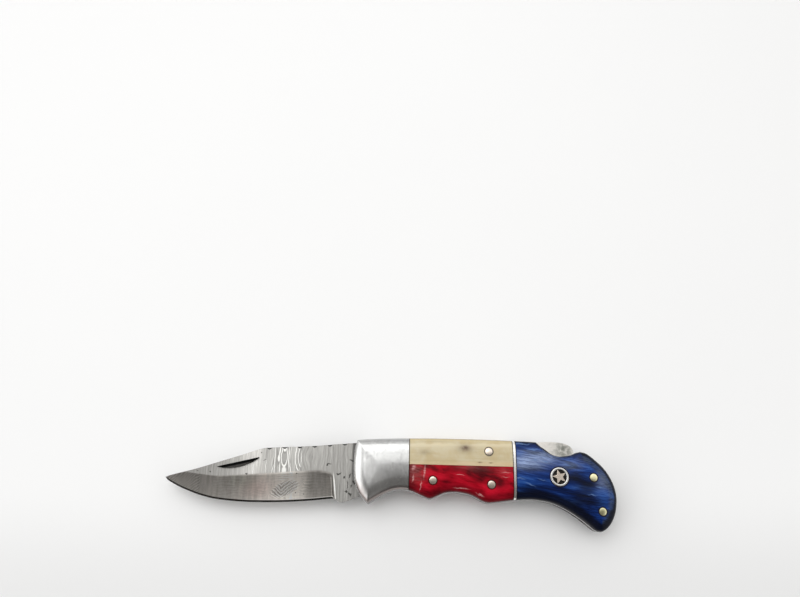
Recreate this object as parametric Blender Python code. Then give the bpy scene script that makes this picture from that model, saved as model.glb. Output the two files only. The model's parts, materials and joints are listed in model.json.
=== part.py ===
# Folding hunting knife with a rocking back lock: a hollow-ground clip-point blade turns between two
# steel liners, under polished bolsters and horn, red and blue scales.
# The knife lies on its right side: +X to the butt, +Y to the spine, +Z up through its thickness.
# Everything is modelled about the blade's pivot axis and set on the ground at the end.

import math

import bmesh
import bpy
import numpy as np

mm = 0.001

# Blade
blade_length = 80.7 * mm  # tip to the front of the bolsters
blade_width = 22.2 * mm
blade_thickness = 3.0 * mm
edge_thickness = 0.16 * mm
plunge_run = 1.2 * mm  # the steep end of the hollow grind
nick_depth = 0.5 * mm
nick_belly = 2.0 * mm
tang_radius = 8.5 * mm
shoulder_offset = 1.0 * mm  # the stop shoulder stands this far behind the pivot
shoulder_inset = 0.7 * mm

# File work along the blade's spine
scallop_radius = 1.5 * mm
scallop_depth = 0.55 * mm
scallop_pitch = 6.5 * mm
scallop_count = 6

# Handle
butt_room = 8.6 * mm  # the folded blade's tip, at its furthest from the pivot, to the butt's end
handle_depth = 25.0 * mm
pivot_setback = 10.4 * mm  # front of the bolsters to the pivot axis
liner_thickness = 1.2 * mm
scale_thickness = 4.4 * mm
scale_wall = 1.0 * mm  # upright edge of a scale, below its rounding
scale_rounding = 5.0 * mm
separator_width = 0.9 * mm

# Lock bar and back spring
lug_length = 4.4 * mm
bar_depth = 3.9 * mm
boss_radius = 3.1 * mm
spring_thickness = 1.7 * mm

# Pins
pivot_radius = 2.4 * mm
pivot_reach = 2.6 * mm  # into each bolster, without showing
pin_radius = 1.5 * mm

# Star inlay
ring_radius = 3.75 * mm
ring_wall = 0.75 * mm
inlay_depth = 1.3 * mm
resin_thickness = 0.6 * mm
star_turn_degrees = 14.0

# Clearances
side_clearance = 0.1 * mm  # blade to liner
seat_gap = 0.05 * mm  # flat faces that rest on each other
seam_gap = 0.08 * mm  # pieces that meet edge to edge
pin_gap = 0.05 * mm  # pin to hole
lug_gap = 0.2 * mm  # tang to lug
spine_inset = 0.1 * mm  # lock bar and spring below the handle's outline
tail_gap = 0.3 * mm  # back spring below the lock bar's tail
tip_gap = 0.5 * mm  # back spring outside the tip's path
flush_inset = 0.02 * mm  # pin ends below the scales
cut_overrun = 1.0 * mm

# Fineness
curve_steps = 3
round_sides = 24
smooth_angle = math.radians(40.0)
merge_share = 1e-6  # of the handle's length

# Outlines of the handle, in shares of its length behind the bolsters' front, and of its depth above the pivot
front_shares = ((0.012, 0.524), (0.003, 0.370), (0.000, 0.156), (0.001, -0.020), (0.007, -0.196),
                (0.024, -0.360), (0.056, -0.527))
belly_shares = ((0.056, -0.527), (0.081, -0.460), (0.116, -0.378), (0.154, -0.316), (0.191, -0.302),
                (0.225, -0.334), (0.258, -0.398), (0.291, -0.450), (0.322, -0.406), (0.351, -0.358),
                (0.386, -0.346), (0.421, -0.363), (0.456, -0.408), (0.502, -0.509), (0.544, -0.508),
                (0.615, -0.474), (0.674, -0.464), (0.722, -0.486), (0.768, -0.538), (0.814, -0.636),
                (0.859, -0.770), (0.903, -0.926))
butt_shares = ((0.903, -0.926), (0.916, -0.954), (0.933, -0.957), (0.9545, -0.900), (0.9735, -0.804),
               (0.9895, -0.664), (0.9975, -0.522), (1.000, -0.400), (0.998, -0.296), (0.992, -0.188),
               (0.979, -0.056), (0.960, 0.068), (0.936, 0.176), (0.914, 0.260), (0.896, 0.308),
               (0.878, 0.324))
notch_shares = ((0.708, 0.484), (0.728, 0.402), (0.751, 0.312), (0.777, 0.262), (0.798, 0.247),
                (0.829, 0.261), (0.848, 0.282), (0.860, 0.305), (0.878, 0.324))
spine_shares = ((0.012, 0.524), (0.061, 0.537), (0.120, 0.544), (0.213, 0.549), (0.335, 0.545),
                (0.491, 0.528), (0.622, 0.504), (0.708, 0.484))

# Seams between the scales, from the spine to the belly, and the seam between horn and red
bolster_seam_shares = (0.2145, 0.2100)
separator_seam_shares = (0.6155, 0.6080)
horn_seam_shares = ((0.213, 0.110), (0.615, 0.064))

# Pins and inlay, in the same shares
rocker_share = (0.520, 0.316)
front_red_pin_share = (0.303, -0.152)
rear_red_pin_share = (0.524, -0.220)
upper_rear_pin_share = (0.912, -0.108)
lower_rear_pin_share = (0.933, -0.644)
inlay_share = (0.783, -0.096)

# Lock bar behind the rocker pin: the thumb pad's top and end, then its underside
pad_shares = ((0.732, 0.496), (0.770, 0.496), (0.804, 0.486), (0.828, 0.462), (0.847, 0.418),
              (0.856, 0.364), (0.858, 0.308), (0.853, 0.256), (0.836, 0.228))
tail_depth_share = 0.224

# Back spring: from the spacer's lower end up inside the butt, and along the arm to its tip
spring_end_share = (0.948, -0.880)
spring_root_shares = ((0.905, -0.330), (0.880, -0.240), (0.868, -0.080))
spring_arm_shares = (0.845, 0.640)
spring_front_share = (0.866, 0.290)

# Outlines of the blade, in shares of its length behind the tip, and of its width above the pivot
clip_shares = ((0.000, -0.090), (0.027, -0.058), (0.059, -0.030), (0.099, 0.003), (0.183, 0.081),
               (0.286, 0.194), (0.389, 0.306), (0.467, 0.396), (0.512, 0.441), (0.553, 0.455),
               (0.708, 0.475), (0.790, 0.488), (0.867, 0.508), (0.935, 0.526), (1.001, 0.540))
edge_shares = ((0.000, -0.090), (0.014, -0.143), (0.038, -0.194), (0.082, -0.272), (0.136, -0.350),
               (0.192, -0.419), (0.278, -0.492), (0.405, -0.538), (0.511, -0.550), (0.642, -0.547),
               (0.772, -0.523), (0.897, -0.487))
grind_shares = ((0.099, 0.003), (0.176, -0.036), (0.270, -0.081), (0.346, -0.081), (0.556, -0.045),
                (0.778, 0.000), (0.897, 0.000))
kick_shares = ((0.906, -0.536), (0.929, -0.550), (0.953, -0.545), (0.981, -0.514), (1.007, -0.477),
               (1.030, -0.446))
nick_shares = ((0.275, 0.099), (0.494, 0.270))
scallop_share = 0.545  # the foremost scallop
tang_arc_degrees = (-130.0, 83.0)
hollow_power = 1.5
tip_power = 0.8

# Values that follow from the sizes above
mid = (0.0, 0.0)
handle_length = blade_length + 2 * pivot_setback + butt_room  # long enough for the folded blade
blade_half = blade_thickness / 2
edge_half = edge_thickness / 2
channel_half = blade_half + side_clearance
lock_half = channel_half - seat_gap
liner_outside = channel_half + liner_thickness
scale_underside = liner_outside + seat_gap
crown_top = liner_outside + scale_thickness
tip_x = -(pivot_setback + blade_length)

# Colour, roughness and metallic value of each material
finishes = {
    "patterned_steel": ((0.46, 0.46, 0.45), 0.38, 1.0),
    "lock_steel": ((0.62, 0.60, 0.57), 0.30, 1.0),
    "liner_steel": ((0.66, 0.66, 0.66), 0.25, 1.0),
    "bolster_steel": ((0.72, 0.73, 0.75), 0.22, 1.0),
    "horn": ((0.72, 0.65, 0.42), 0.35, 0.0),
    "red_wood": ((0.42, 0.02, 0.03), 0.30, 0.0),
    "blue_wood": ((0.02, 0.05, 0.30), 0.28, 0.0),
    "nickel_silver": ((0.70, 0.66, 0.58), 0.28, 1.0),
    "brass": ((0.72, 0.52, 0.22), 0.30, 1.0),
    "dark_resin": ((0.03, 0.03, 0.035), 0.30, 0.0),
}


def material(name):
    found = bpy.data.materials.get(name)
    if found:
        return found
    colour, roughness, metallic = finishes[name]
    made = bpy.data.materials.new(name)
    made.use_nodes = True
    made.diffuse_color = (*colour, 1.0)
    shader = made.node_tree.nodes["Principled BSDF"]
    shader.inputs["Base Color"].default_value = (*colour, 1.0)
    shader.inputs["Roughness"].default_value = roughness
    shader.inputs["Metallic"].default_value = metallic
    return made


# Curves

def on_handle(shares):
    points = np.array(shares, float).reshape(-1, 2)
    return points * (handle_length, handle_depth) - (pivot_setback, 0.0)


def on_blade(shares):
    points = np.array(shares, float).reshape(-1, 2)
    return points * (blade_length, blade_width) + (tip_x, 0.0)


def smooth(points, steps=curve_steps):
    # A Catmull-Rom curve through the points
    ends = np.vstack([2 * points[0] - points[1], points, 2 * points[-1] - points[-2]])
    run = []
    for a, b, c, d in zip(ends, ends[1:], ends[2:], ends[3:]):
        for t in np.arange(steps) / steps:
            run.append(b + t * (c - a) / 2 + t**2 * (a - 2.5 * b + 2 * c - d / 2)
                       + t**3 * (1.5 * (b - c) + (d - a) / 2))
    return np.vstack([run, points[-1]])


def height_at(curve, x):
    return np.interp(x, curve[:, 0], curve[:, 1])


def stretch(curve, start_x, end_x):
    # The part of a curve that runs along X, between two places
    between = curve[(curve[:, 0] > start_x) & (curve[:, 0] < end_x)]
    return np.vstack([(start_x, height_at(curve, start_x)), between, (end_x, height_at(curve, end_x))])


def along(curve, shares):
    # Points at shares of a curve's length
    steps = np.hypot(*np.diff(curve, axis=0).T)
    reached = np.concatenate([[0.0], np.cumsum(steps)])
    at = np.asarray(shares) * reached[-1]
    return np.stack([np.interp(at, reached, curve[:, 0]), np.interp(at, reached, curve[:, 1])], axis=1)


def arc(radius, degrees, count, centre=mid):
    angles = np.radians(np.linspace(*degrees, count))
    return np.stack([np.cos(angles), np.sin(angles)], axis=1) * radius + centre


def ring(radius, centre=mid):
    return arc(radius, (0.0, 360.0), round_sides + 1, centre)[:-1]


handle_front = smooth(on_handle(front_shares))
handle_belly = smooth(on_handle(belly_shares))
handle_butt = smooth(on_handle(butt_shares))
handle_notch = smooth(on_handle(notch_shares))
handle_spine = smooth(on_handle(spine_shares))
handle_outline = np.vstack([handle_front[:-1], handle_belly[:-1], handle_butt[:-1],
                            handle_notch[::-1][:-1], handle_spine[::-1][:-1]])
blade_spine = smooth(on_blade(clip_shares))
blade_edge = smooth(on_blade(edge_shares))
blade_grind = smooth(on_blade(grind_shares))
rocker = on_handle(rocker_share)[0]
inlay = on_handle(inlay_share)[0]
red_pins = {"front": on_handle(front_red_pin_share)[0], "rear": on_handle(rear_red_pin_share)[0]}
rear_pins = {"upper": on_handle(upper_rear_pin_share)[0], "lower": on_handle(lower_rear_pin_share)[0]}


# The scales' surface

def distance_inside(points):
    # From each point to the handle's outline
    starts = handle_outline
    runs = np.roll(handle_outline, -1, axis=0) - starts
    offsets = points[:, None, :] - starts[None]
    along_run = np.clip((offsets * runs).sum(axis=2) / (runs**2).sum(axis=1), 0.0, 1.0)
    return np.linalg.norm(offsets - along_run[..., None] * runs, axis=2).min(axis=1)


def crown(points):
    # A quarter ellipse rises from the wall at the outline to the flat middle
    inward = np.clip(distance_inside(points) / scale_rounding, 0.0, 1.0)
    rise = np.sqrt(1.0 - (1.0 - inward)**2)
    return liner_outside + scale_wall + (scale_thickness - scale_wall) * rise


# Meshes and objects

def solid(name, vertices, faces, finish, origin=mid, helper=False):
    # A closed mesh with its faces turned outwards, and its own origin on a joint's axis where it has one
    base = np.array((*origin, 0.0))
    mesh = bpy.data.meshes.new(name)
    mesh.from_pydata([tuple(v - base) for v in np.asarray(vertices)], [], faces)
    shape = bmesh.new()
    shape.from_mesh(mesh)
    bmesh.ops.remove_doubles(shape, verts=shape.verts, dist=merge_share * handle_length)
    bmesh.ops.recalc_face_normals(shape, faces=shape.faces)
    shape.to_mesh(mesh)
    shape.free()
    mesh.shade_smooth()
    mesh.set_sharp_from_angle(angle=smooth_angle)
    piece = bpy.data.objects.new(name, mesh)
    bpy.context.scene.collection.objects.link(piece)
    if helper:
        piece.hide_render = True
        piece.display_type = "WIRE"
    else:
        mesh.materials.append(material(finish))
        piece.location = base
    return piece


def layers(*sheets):
    return np.vstack([np.column_stack([sheet, np.broadcast_to(z, len(sheet))]) for sheet, z in sheets])


def prism(outline, low, high):
    # The vertices and faces of an outline between two levels, each one number or one for each point
    count = len(outline)
    following = [(i + 1) % count for i in range(count)]
    walls = [(i, n, count + n, count + i) for i, n in zip(range(count), following)]
    ends = [tuple(range(count))[::-1], tuple(range(count, 2 * count))]
    return layers((outline, low), (outline, high)), walls + ends


def plate(name, outline, low, high, finish, origin=mid, helper=False):
    return solid(name, *prism(outline, low, high), finish, origin, helper)


def cut(piece, cutter):
    # The cutter moves with the piece that it cuts
    cutter.parent = piece
    difference = piece.modifiers.new(cutter.name, "BOOLEAN")
    difference.operation = "DIFFERENCE"
    difference.solver = "EXACT"
    difference.object = cutter


def drill(piece, label, centre, radius, low, high, origin=mid):
    cut(piece, plate(f"{piece.name}_{label}_cutter", ring(radius, centre), low, high, None, origin, True))


# Blade

def blade_half_at(x, down, grind_half):
    # Half the thickness at shares of the way down the ground face, with the steep plunge at its rear
    hollow = edge_half + (grind_half - edge_half) * (1.0 - down)**hollow_power
    kept = np.clip((blade_grind[-1, 0] - x) / plunge_run, 0.0, 1.0)
    kept = kept * kept * (3.0 - 2.0 * kept)
    return grind_half + (hollow - grind_half) * kept


def blade_columns():
    # Each column runs from the spine to the edge, as rows of x, y and half the thickness
    rear_x = blade_grind[-1, 0]
    plunge_shares = np.array((0.35, 0.65, 1.0))
    stations = np.concatenate([np.linspace(tip_x, rear_x - plunge_run, 27),
                               rear_x - plunge_run + plunge_run * plunge_shares])
    flat_shares = np.array((0.0, 0.5))
    ground_shares = np.linspace(0.0, 1.0, 7)
    grind_start = blade_grind[0, 0]
    columns = []
    for x in stations:
        top, bottom = height_at(blade_spine, x), height_at(blade_edge, x)
        line = min(height_at(blade_grind, x), top)
        taper = min((x - tip_x) / (grind_start - tip_x), 1.0)**tip_power
        grind_half = edge_half + (blade_half - edge_half) * taper
        ys = np.concatenate([top + (line - top) * flat_shares, line + (bottom - line) * ground_shares])
        halves = np.concatenate([np.full(len(flat_shares), grind_half),
                                 blade_half_at(x, ground_shares, grind_half)])
        columns.append(np.column_stack([np.full(len(ys), x), ys, halves]))
    return np.array(columns)


def tang_outline(top, bottom):
    # From below the plunge along the kick and the tang's round, up the stop shoulder and back to the spine
    shoulder_y = height_at(handle_spine, shoulder_offset) - shoulder_inset
    back = np.array(((shoulder_offset, shoulder_y), blade_spine[-1]))
    return np.vstack([smooth(np.vstack([bottom, on_blade(kick_shares)]))[1:],
                      arc(tang_radius, tang_arc_degrees, round_sides), back])


def scallop_cutters():
    # A round file laid across the spine's corners, on both sides in turn
    vertices, faces = [], []
    for side in (1, -1):
        across = np.array((0.0, 1.0, -side)) / math.sqrt(2)
        outward = np.array((0.0, 1.0, side)) / math.sqrt(2)
        for turn in range(scallop_count):
            x = tip_x + scallop_share * blade_length + (turn + (side < 0) / 2) * scallop_pitch
            corner = np.array((x, height_at(blade_spine, x), side * blade_half))
            centre = corner + outward * (scallop_radius - scallop_depth)
            circle = ring(scallop_radius)
            section = circle[:, :1] * np.array((1.0, 0.0, 0.0)) + circle[:, 1:] * outward
            first = len(vertices)
            vertices += list(centre + section - across * scallop_radius)
            vertices += list(centre + section + across * scallop_radius)
            faces += [tuple(first + i for i in face) for face in prism(circle, 0.0, 0.0)[1]]
    return vertices, faces


def nick_cutter():
    # Deepest along the straight upper edge, running out to the curved lower edge
    start, end = on_blade(nick_shares)
    run = end - start
    down = np.array((run[1], -run[0])) / np.hypot(*run)
    shares = np.linspace(0.0, 1.0, 15)[:, None]
    swell = 4 * shares * (1 - shares)
    upper = start + run * shares
    lower = upper + down * nick_belly * swell
    lifted = blade_half + flush_inset
    floor = lifted - (nick_depth + flush_inset) * np.sqrt(swell[:, 0])
    top = blade_half + cut_overrun
    vertices = layers((upper, floor), (lower, lifted), (lower, top), (upper, top))
    count = len(shares)
    faces = []
    for i in range(count - 1):
        for low, high in ((0, 1), (1, 2), (2, 3), (3, 0)):
            faces.append((low * count + i, low * count + i + 1, high * count + i + 1, high * count + i))
    return vertices, faces


def build_blade():
    columns = blade_columns()
    down, rows = columns.shape[:2]
    sheet = columns.reshape(-1, 3)
    tang = tang_outline(columns[-1, 0, :2], columns[-1, -1, :2])
    vertices = layers((sheet[:, :2], sheet[:, 2]), (sheet[:, :2], -sheet[:, 2]),
                      (tang, blade_half), (tang, -blade_half))
    under, tang_top, tang_under = len(sheet), 2 * len(sheet), 2 * len(sheet) + len(tang)
    faces = []
    for i in range(down - 1):
        for j in range(rows - 1):
            a, b = i * rows + j, (i + 1) * rows + j
            faces.append((a, a + 1, b + 1, b))
            faces.append((under + a, under + b, under + b + 1, under + a + 1))
        spine, edge = i * rows, i * rows + rows - 1
        faces.append((spine, spine + rows, under + spine + rows, under + spine))
        faces.append((edge, under + edge, under + edge + rows, edge + rows))
    plunge = [(down - 1) * rows + j for j in range(rows)]
    upper_loop = plunge + [tang_top + k for k in range(len(tang))]
    lower_loop = [under + k for k in plunge] + [tang_under + k for k in range(len(tang))]
    faces += [tuple(upper_loop), tuple(lower_loop[::-1])]
    for k in range(rows - 1, len(upper_loop)):
        after = (k + 1) % len(upper_loop)
        faces.append((upper_loop[k], upper_loop[after], lower_loop[after], lower_loop[k]))
    blade = solid("blade", vertices, faces, "patterned_steel")
    drill(blade, "pivot", mid, pivot_radius + pin_gap, -blade_half - cut_overrun, blade_half + cut_overrun)
    cut(blade, solid("blade_nick_cutter", *nick_cutter(), None, mid, True))
    cut(blade, solid("blade_scallop_cutter", *scallop_cutters(), None, mid, True))
    return blade


# Lock bar and back spring

def lock_bar_outline():
    front_x = shoulder_offset + seam_gap
    lug_rear = front_x + lug_length
    inner_radius = tang_radius + lug_gap
    angles = np.degrees(np.arccos(np.array((front_x, lug_rear)) / inner_radius))
    lug = arc(inner_radius, angles[::-1], 6)
    top = stretch(handle_spine, front_x, handle_spine[-1, 0]) - (0.0, spine_inset)
    pad = smooth(on_handle(pad_shares))
    tail_y = tail_depth_share * handle_depth
    boss = arc(boss_radius, (-50.0, -130.0), 7, rocker)
    tail = np.array((pad[-1, 0], tail_y))
    waist = np.array((rocker[0] + 2 * boss_radius, tail_y))
    belly_x = np.linspace(rocker[0] - 2 * boss_radius, lug_rear, 6)
    belly = np.column_stack([belly_x, height_at(handle_spine, belly_x) - spine_inset - bar_depth])
    return np.vstack([lug, top, pad[:-1], tail, waist, boss, belly])


def build_lock_bar():
    bar = plate("lock_bar", lock_bar_outline(), -lock_half, lock_half, "lock_steel", rocker)
    drill(bar, "rocker", rocker, pin_radius + pin_gap, -lock_half - cut_overrun, lock_half + cut_overrun,
          rocker)
    return bar


def spring_outline():
    # The outer side follows the butt; the inner side keeps clear of the tip's path about the pivot
    outer = handle_butt[::-1]
    runs = np.gradient(outer, axis=0)
    inward = np.column_stack([runs[:, 1], -runs[:, 0]]) / np.hypot(*runs.T)[:, None]
    outer = outer + inward * spine_inset
    end = on_handle(spring_end_share)[0]
    outer = outer[outer[:, 1] > end[1]]
    path = np.hypot(*blade_spine[0]) + tip_gap
    low_angle = math.degrees(math.asin(end[1] / path))
    root = on_handle(spring_root_shares)
    high_angle = math.degrees(math.asin(root[0, 1] / path))
    arm_x = on_handle([(share, 0.0) for share in spring_arm_shares])[:, 0]
    arm_top = tail_depth_share * handle_depth - tail_gap
    arm = np.array(((arm_x[0], arm_top - 3 * spring_thickness), (arm_x[1], arm_top - spring_thickness),
                    (arm_x[1], arm_top), (arm_x[1] + 2 * spring_thickness, arm_top),
                    (arm_x[0], arm_top - 2 * spring_thickness)))
    front = on_handle(spring_front_share)
    return np.vstack([outer, arc(path, (low_angle, high_angle), 8), root, arm, front])


def build_back_spring():
    spring = plate("back_spring", spring_outline(), -lock_half, lock_half, "lock_steel")
    for name, centre in rear_pins.items():
        drill(spring, name, centre, pin_radius + pin_gap, -lock_half - cut_overrun, lock_half + cut_overrun)
    return spring


# Liners, bolsters and scales

def seam(shares, offset=0.0):
    # A straight seam from the spine to the belly, moved along X by an offset
    xs = on_handle([(share, 0.0) for share in shares])[:, 0] + offset
    return np.array(((xs[0], height_at(handle_spine, xs[0])), (xs[1], height_at(handle_belly, xs[1]))))


def seam_point(line, y):
    x = np.interp(y, line[::-1, 1], line[::-1, 0])
    return np.array((x, y))


def patch(top, bottom, left, right, across, down):
    # A Coons patch between four edges: top and bottom run along X, left and right run down
    u, v = np.asarray(across)[None, :, None], np.asarray(down)[:, None, None]
    upper, lower = along(top, across)[None], along(bottom, across)[None]
    front, rear = along(left, down)[:, None], along(right, down)[:, None]
    corners = ((1 - u) * (1 - v) * top[0] + u * (1 - v) * top[-1]
               + (1 - u) * v * bottom[0] + u * v * bottom[-1])
    return (1 - v) * upper + v * lower + (1 - u) * front + u * rear - corners


def crowded(count, start, end):
    # Shares from 0 to 1 that crowd towards the ends that lie on the rounded outline
    turn = np.linspace(0.0, 1.0, count + 1)
    if start and end:
        return (1 - np.cos(np.pi * turn)) / 2
    if start:
        return 1 - np.cos(np.pi / 2 * turn)
    return np.sin(np.pi / 2 * turn) if end else turn


def crowned(name, grid, finish, side):
    # A flat-backed piece whose outer face follows the scales' surface
    down, across = grid.shape[:2]
    points = grid.reshape(-1, 2)
    index = np.arange(len(points)).reshape(down, across)
    rim = np.concatenate([index[0, :-1], index[:-1, -1], index[-1, :0:-1], index[:0:-1, 0]])
    under = len(points)
    vertices = layers((points, side * crown(points)), (points[rim], side * scale_underside))
    faces = []
    for i in range(down - 1):
        for j in range(across - 1):
            faces.append((index[i, j], index[i + 1, j], index[i + 1, j + 1], index[i, j + 1]))
    for k in range(len(rim)):
        after = (k + 1) % len(rim)
        faces.append((rim[k], rim[after], under + after, under + k))
    faces.append(tuple(range(under, under + len(rim)))[::-1])
    return solid(name, vertices, [tuple(int(i) for i in face) for face in faces], finish)


def drill_scale(piece, label, centre, radius, side, low=None, high=None):
    levels = sorted((side * (low or scale_underside - cut_overrun), side * (high or crown_top + cut_overrun)))
    drill(piece, label, centre, radius, *levels)


def build_liner(label, side):
    levels = sorted((side * channel_half, side * liner_outside))
    liner = plate(f"liner_{label}", handle_outline, *levels, "liner_steel")
    for name, centre in {"rocker": rocker, **rear_pins, **red_pins}.items():
        drill(liner, name, centre, pin_radius + pin_gap, levels[0] - cut_overrun, levels[1] + cut_overrun)
    drill(liner, "pivot", mid, pivot_radius + pin_gap, levels[0] - cut_overrun, levels[1] + cut_overrun)


def build_bolster(label, side):
    rear = seam(bolster_seam_shares, -seam_gap)
    grid = patch(stretch(handle_spine, handle_spine[0, 0], rear[0, 0]),
                 stretch(handle_belly, handle_belly[0, 0], rear[1, 0]),
                 handle_front, rear, crowded(12, True, False), crowded(14, True, True))
    bolster = crowned(f"bolster_{label}", grid, "bolster_steel", side)
    drill_scale(bolster, "pivot", mid, pivot_radius + pin_gap, side,
                high=liner_outside + pivot_reach + seat_gap)


def horn_seam_height(x):
    return height_at(on_handle(horn_seam_shares), x)


def build_horn_scale(label, side):
    front, rear = seam(bolster_seam_shares), seam(separator_seam_shares, -seam_gap)
    ends = []
    for line in (front, rear):
        ends.append(seam_point(line, horn_seam_height(line[0, 0]) + seam_gap / 2))
    grid = patch(stretch(handle_spine, front[0, 0], rear[0, 0]), np.array(ends),
                 np.array((front[0], ends[0])), np.array((rear[0], ends[1])),
                 crowded(20, False, False), crowded(8, True, False))
    scale = crowned(f"horn_scale_{label}", grid, "horn", side)
    drill_scale(scale, "rocker", rocker, pin_radius + pin_gap, side)


def build_red_scale(label, side):
    front, rear = seam(bolster_seam_shares), seam(separator_seam_shares, -seam_gap)
    ends = []
    for line in (front, rear):
        ends.append(seam_point(line, horn_seam_height(line[0, 0]) - seam_gap / 2))
    grid = patch(np.array(ends), stretch(handle_belly, front[1, 0], rear[1, 0]),
                 np.array((ends[0], front[1])), np.array((ends[1], rear[1])),
                 crowded(26, False, False), crowded(9, False, True))
    scale = crowned(f"red_scale_{label}", grid, "red_wood", side)
    for name, centre in red_pins.items():
        drill_scale(scale, name, centre, pin_radius + pin_gap, side)


def build_separator(label, side):
    front, rear = seam(separator_seam_shares), seam(separator_seam_shares, separator_width)
    grid = patch(stretch(handle_spine, front[0, 0], rear[0, 0]), stretch(handle_belly, front[1, 0], rear[1, 0]),
                 front, rear, crowded(1, False, False), crowded(14, True, True))
    crowned(f"separator_{label}", grid, "nickel_silver", side)


def build_blue_scale(label, side):
    front = seam(separator_seam_shares, separator_width + seam_gap)
    top = np.vstack([stretch(handle_spine, front[0, 0], handle_spine[-1, 0]), handle_notch[1:]])
    grid = patch(top, stretch(handle_belly, front[1, 0], handle_belly[-1, 0]), front, handle_butt[::-1],
                 crowded(22, False, True), crowded(14, True, True))
    scale = crowned(f"blue_scale_{label}", grid, "blue_wood", side)
    for name, centre in rear_pins.items():
        drill_scale(scale, name, centre, pin_radius + pin_gap, side)
    drill_scale(scale, "inlay", inlay, ring_radius + pin_gap, side, low=crown_top - inlay_depth)


# Pins and inlays

def pin_end(centre, radius, side):
    # A pin's end, filed flush with the scales' surface
    rim = ring(radius, centre)
    return rim, side * (crown(rim) - flush_inset)


def build_through_pin(name, centre, finish):
    # Both ends are flush with the scales
    rim, high = pin_end(centre, pin_radius, 1)
    _, low = pin_end(centre, pin_radius, -1)
    solid(name, *prism(rim, low, high), finish)


def build_short_pin(name, centre, finish, side):
    # Holds one scale to its liner and ends inside the liner, clear of the folded blade
    rim, outer = pin_end(centre, pin_radius, side)
    inner = side * (channel_half + seat_gap)
    low, high = (inner, outer) if side > 0 else (outer, inner)
    solid(name, *prism(rim, low, high), finish)


def build_pivot_pin():
    reach = liner_outside + pivot_reach
    plate("pivot_pin", ring(pivot_radius), -reach, reach, "nickel_silver")


def star_outline(radius, inner_share=0.47):
    angles = np.radians(90.0 + star_turn_degrees + 36.0 * np.arange(10))
    radii = np.where(np.arange(10) % 2, radius * inner_share, radius)
    return np.column_stack([np.cos(angles), np.sin(angles)]) * radii[:, None] + inlay


def build_inlay(label, side):
    floor = crown_top - inlay_depth + seat_gap
    face = crown_top - flush_inset
    ring_inside = ring_radius - ring_wall
    outer, inner = ring(ring_radius, inlay), ring(ring_inside, inlay)
    count = len(outer)
    vertices = layers((outer, side * floor), (outer, side * face), (inner, side * face), (inner, side * floor))
    faces = []
    for i in range(count):
        after = (i + 1) % count
        for low, high in ((0, 1), (1, 2), (2, 3), (3, 0)):
            faces.append((low * count + i, low * count + after, high * count + after, high * count + i))
    solid(f"star_ring_{label}", vertices, faces, "nickel_silver")
    bed = floor + resin_thickness
    plate(f"star_resin_{label}", ring(ring_inside - pin_gap, inlay), *sorted((side * floor, side * bed)),
          "dark_resin")
    plate(f"star_{label}", star_outline(ring_inside - pin_gap),
          *sorted((side * (bed + seat_gap), side * face)), "nickel_silver")


# Assembly

def stand_on_origin():
    # The ground goes under the knife, with the origin below the middle of its box
    parts = [piece for piece in bpy.context.scene.objects if not piece.parent]
    corners = np.array([vertex.co + piece.location for piece in parts for vertex in piece.data.vertices])
    low, high = corners.min(axis=0), corners.max(axis=0)
    base = ((low[0] + high[0]) / 2, (low[1] + high[1]) / 2, low[2])
    for piece in parts:
        piece.location = np.array(piece.location) - base
    print("pivot axis", -base[0], -base[1])
    print("rocker axis", rocker[0] - base[0], rocker[1] - base[1])


def build_knife():
    for old in list(bpy.data.objects):
        bpy.data.objects.remove(old)
    build_blade()
    build_lock_bar()
    build_back_spring()
    build_pivot_pin()
    build_through_pin("rocker_pin", rocker, "nickel_silver")
    for name, centre in rear_pins.items():
        build_through_pin(f"rear_pin_{name}", centre, "brass")
    for label, side in (("left", 1), ("right", -1)):
        build_liner(label, side)
        build_bolster(label, side)
        build_horn_scale(label, side)
        build_red_scale(label, side)
        build_separator(label, side)
        build_blue_scale(label, side)
        for name, centre in red_pins.items():
            build_short_pin(f"red_pin_{name}_{label}", centre, "nickel_silver", side)
        build_inlay(label, side)
    stand_on_origin()


build_knife()
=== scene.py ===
# Looks of a folding hunting knife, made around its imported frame.
# Places are in metres about the blade's pivot: +X to the butt, +Y to the spine, +Z out of the left side.

import json
import math

import bmesh
import bpy
import numpy as np
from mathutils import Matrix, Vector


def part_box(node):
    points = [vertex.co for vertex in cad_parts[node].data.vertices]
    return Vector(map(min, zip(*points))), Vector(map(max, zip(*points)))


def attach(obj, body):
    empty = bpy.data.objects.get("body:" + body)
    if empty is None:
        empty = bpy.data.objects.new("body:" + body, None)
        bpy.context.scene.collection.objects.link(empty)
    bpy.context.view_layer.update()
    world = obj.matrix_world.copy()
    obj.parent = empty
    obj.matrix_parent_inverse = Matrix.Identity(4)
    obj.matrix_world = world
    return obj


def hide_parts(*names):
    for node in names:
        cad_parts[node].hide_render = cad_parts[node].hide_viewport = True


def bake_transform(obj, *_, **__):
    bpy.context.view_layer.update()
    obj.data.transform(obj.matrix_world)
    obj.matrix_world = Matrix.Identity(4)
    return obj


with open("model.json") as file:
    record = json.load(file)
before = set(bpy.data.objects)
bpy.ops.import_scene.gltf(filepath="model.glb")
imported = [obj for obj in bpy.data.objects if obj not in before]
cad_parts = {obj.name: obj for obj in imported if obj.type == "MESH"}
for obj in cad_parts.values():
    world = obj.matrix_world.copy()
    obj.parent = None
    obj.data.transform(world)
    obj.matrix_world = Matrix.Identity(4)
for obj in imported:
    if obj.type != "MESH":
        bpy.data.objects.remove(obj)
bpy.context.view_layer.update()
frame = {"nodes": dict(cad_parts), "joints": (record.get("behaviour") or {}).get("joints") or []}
mm = 0.001
jointPlaces = {joint["name"]: np.array(joint["pos_m"]) for joint in frame["joints"]}
home = jointPlaces["blade_pivot"]
leftAndRight = {"left": 1, "right": -1}

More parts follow.
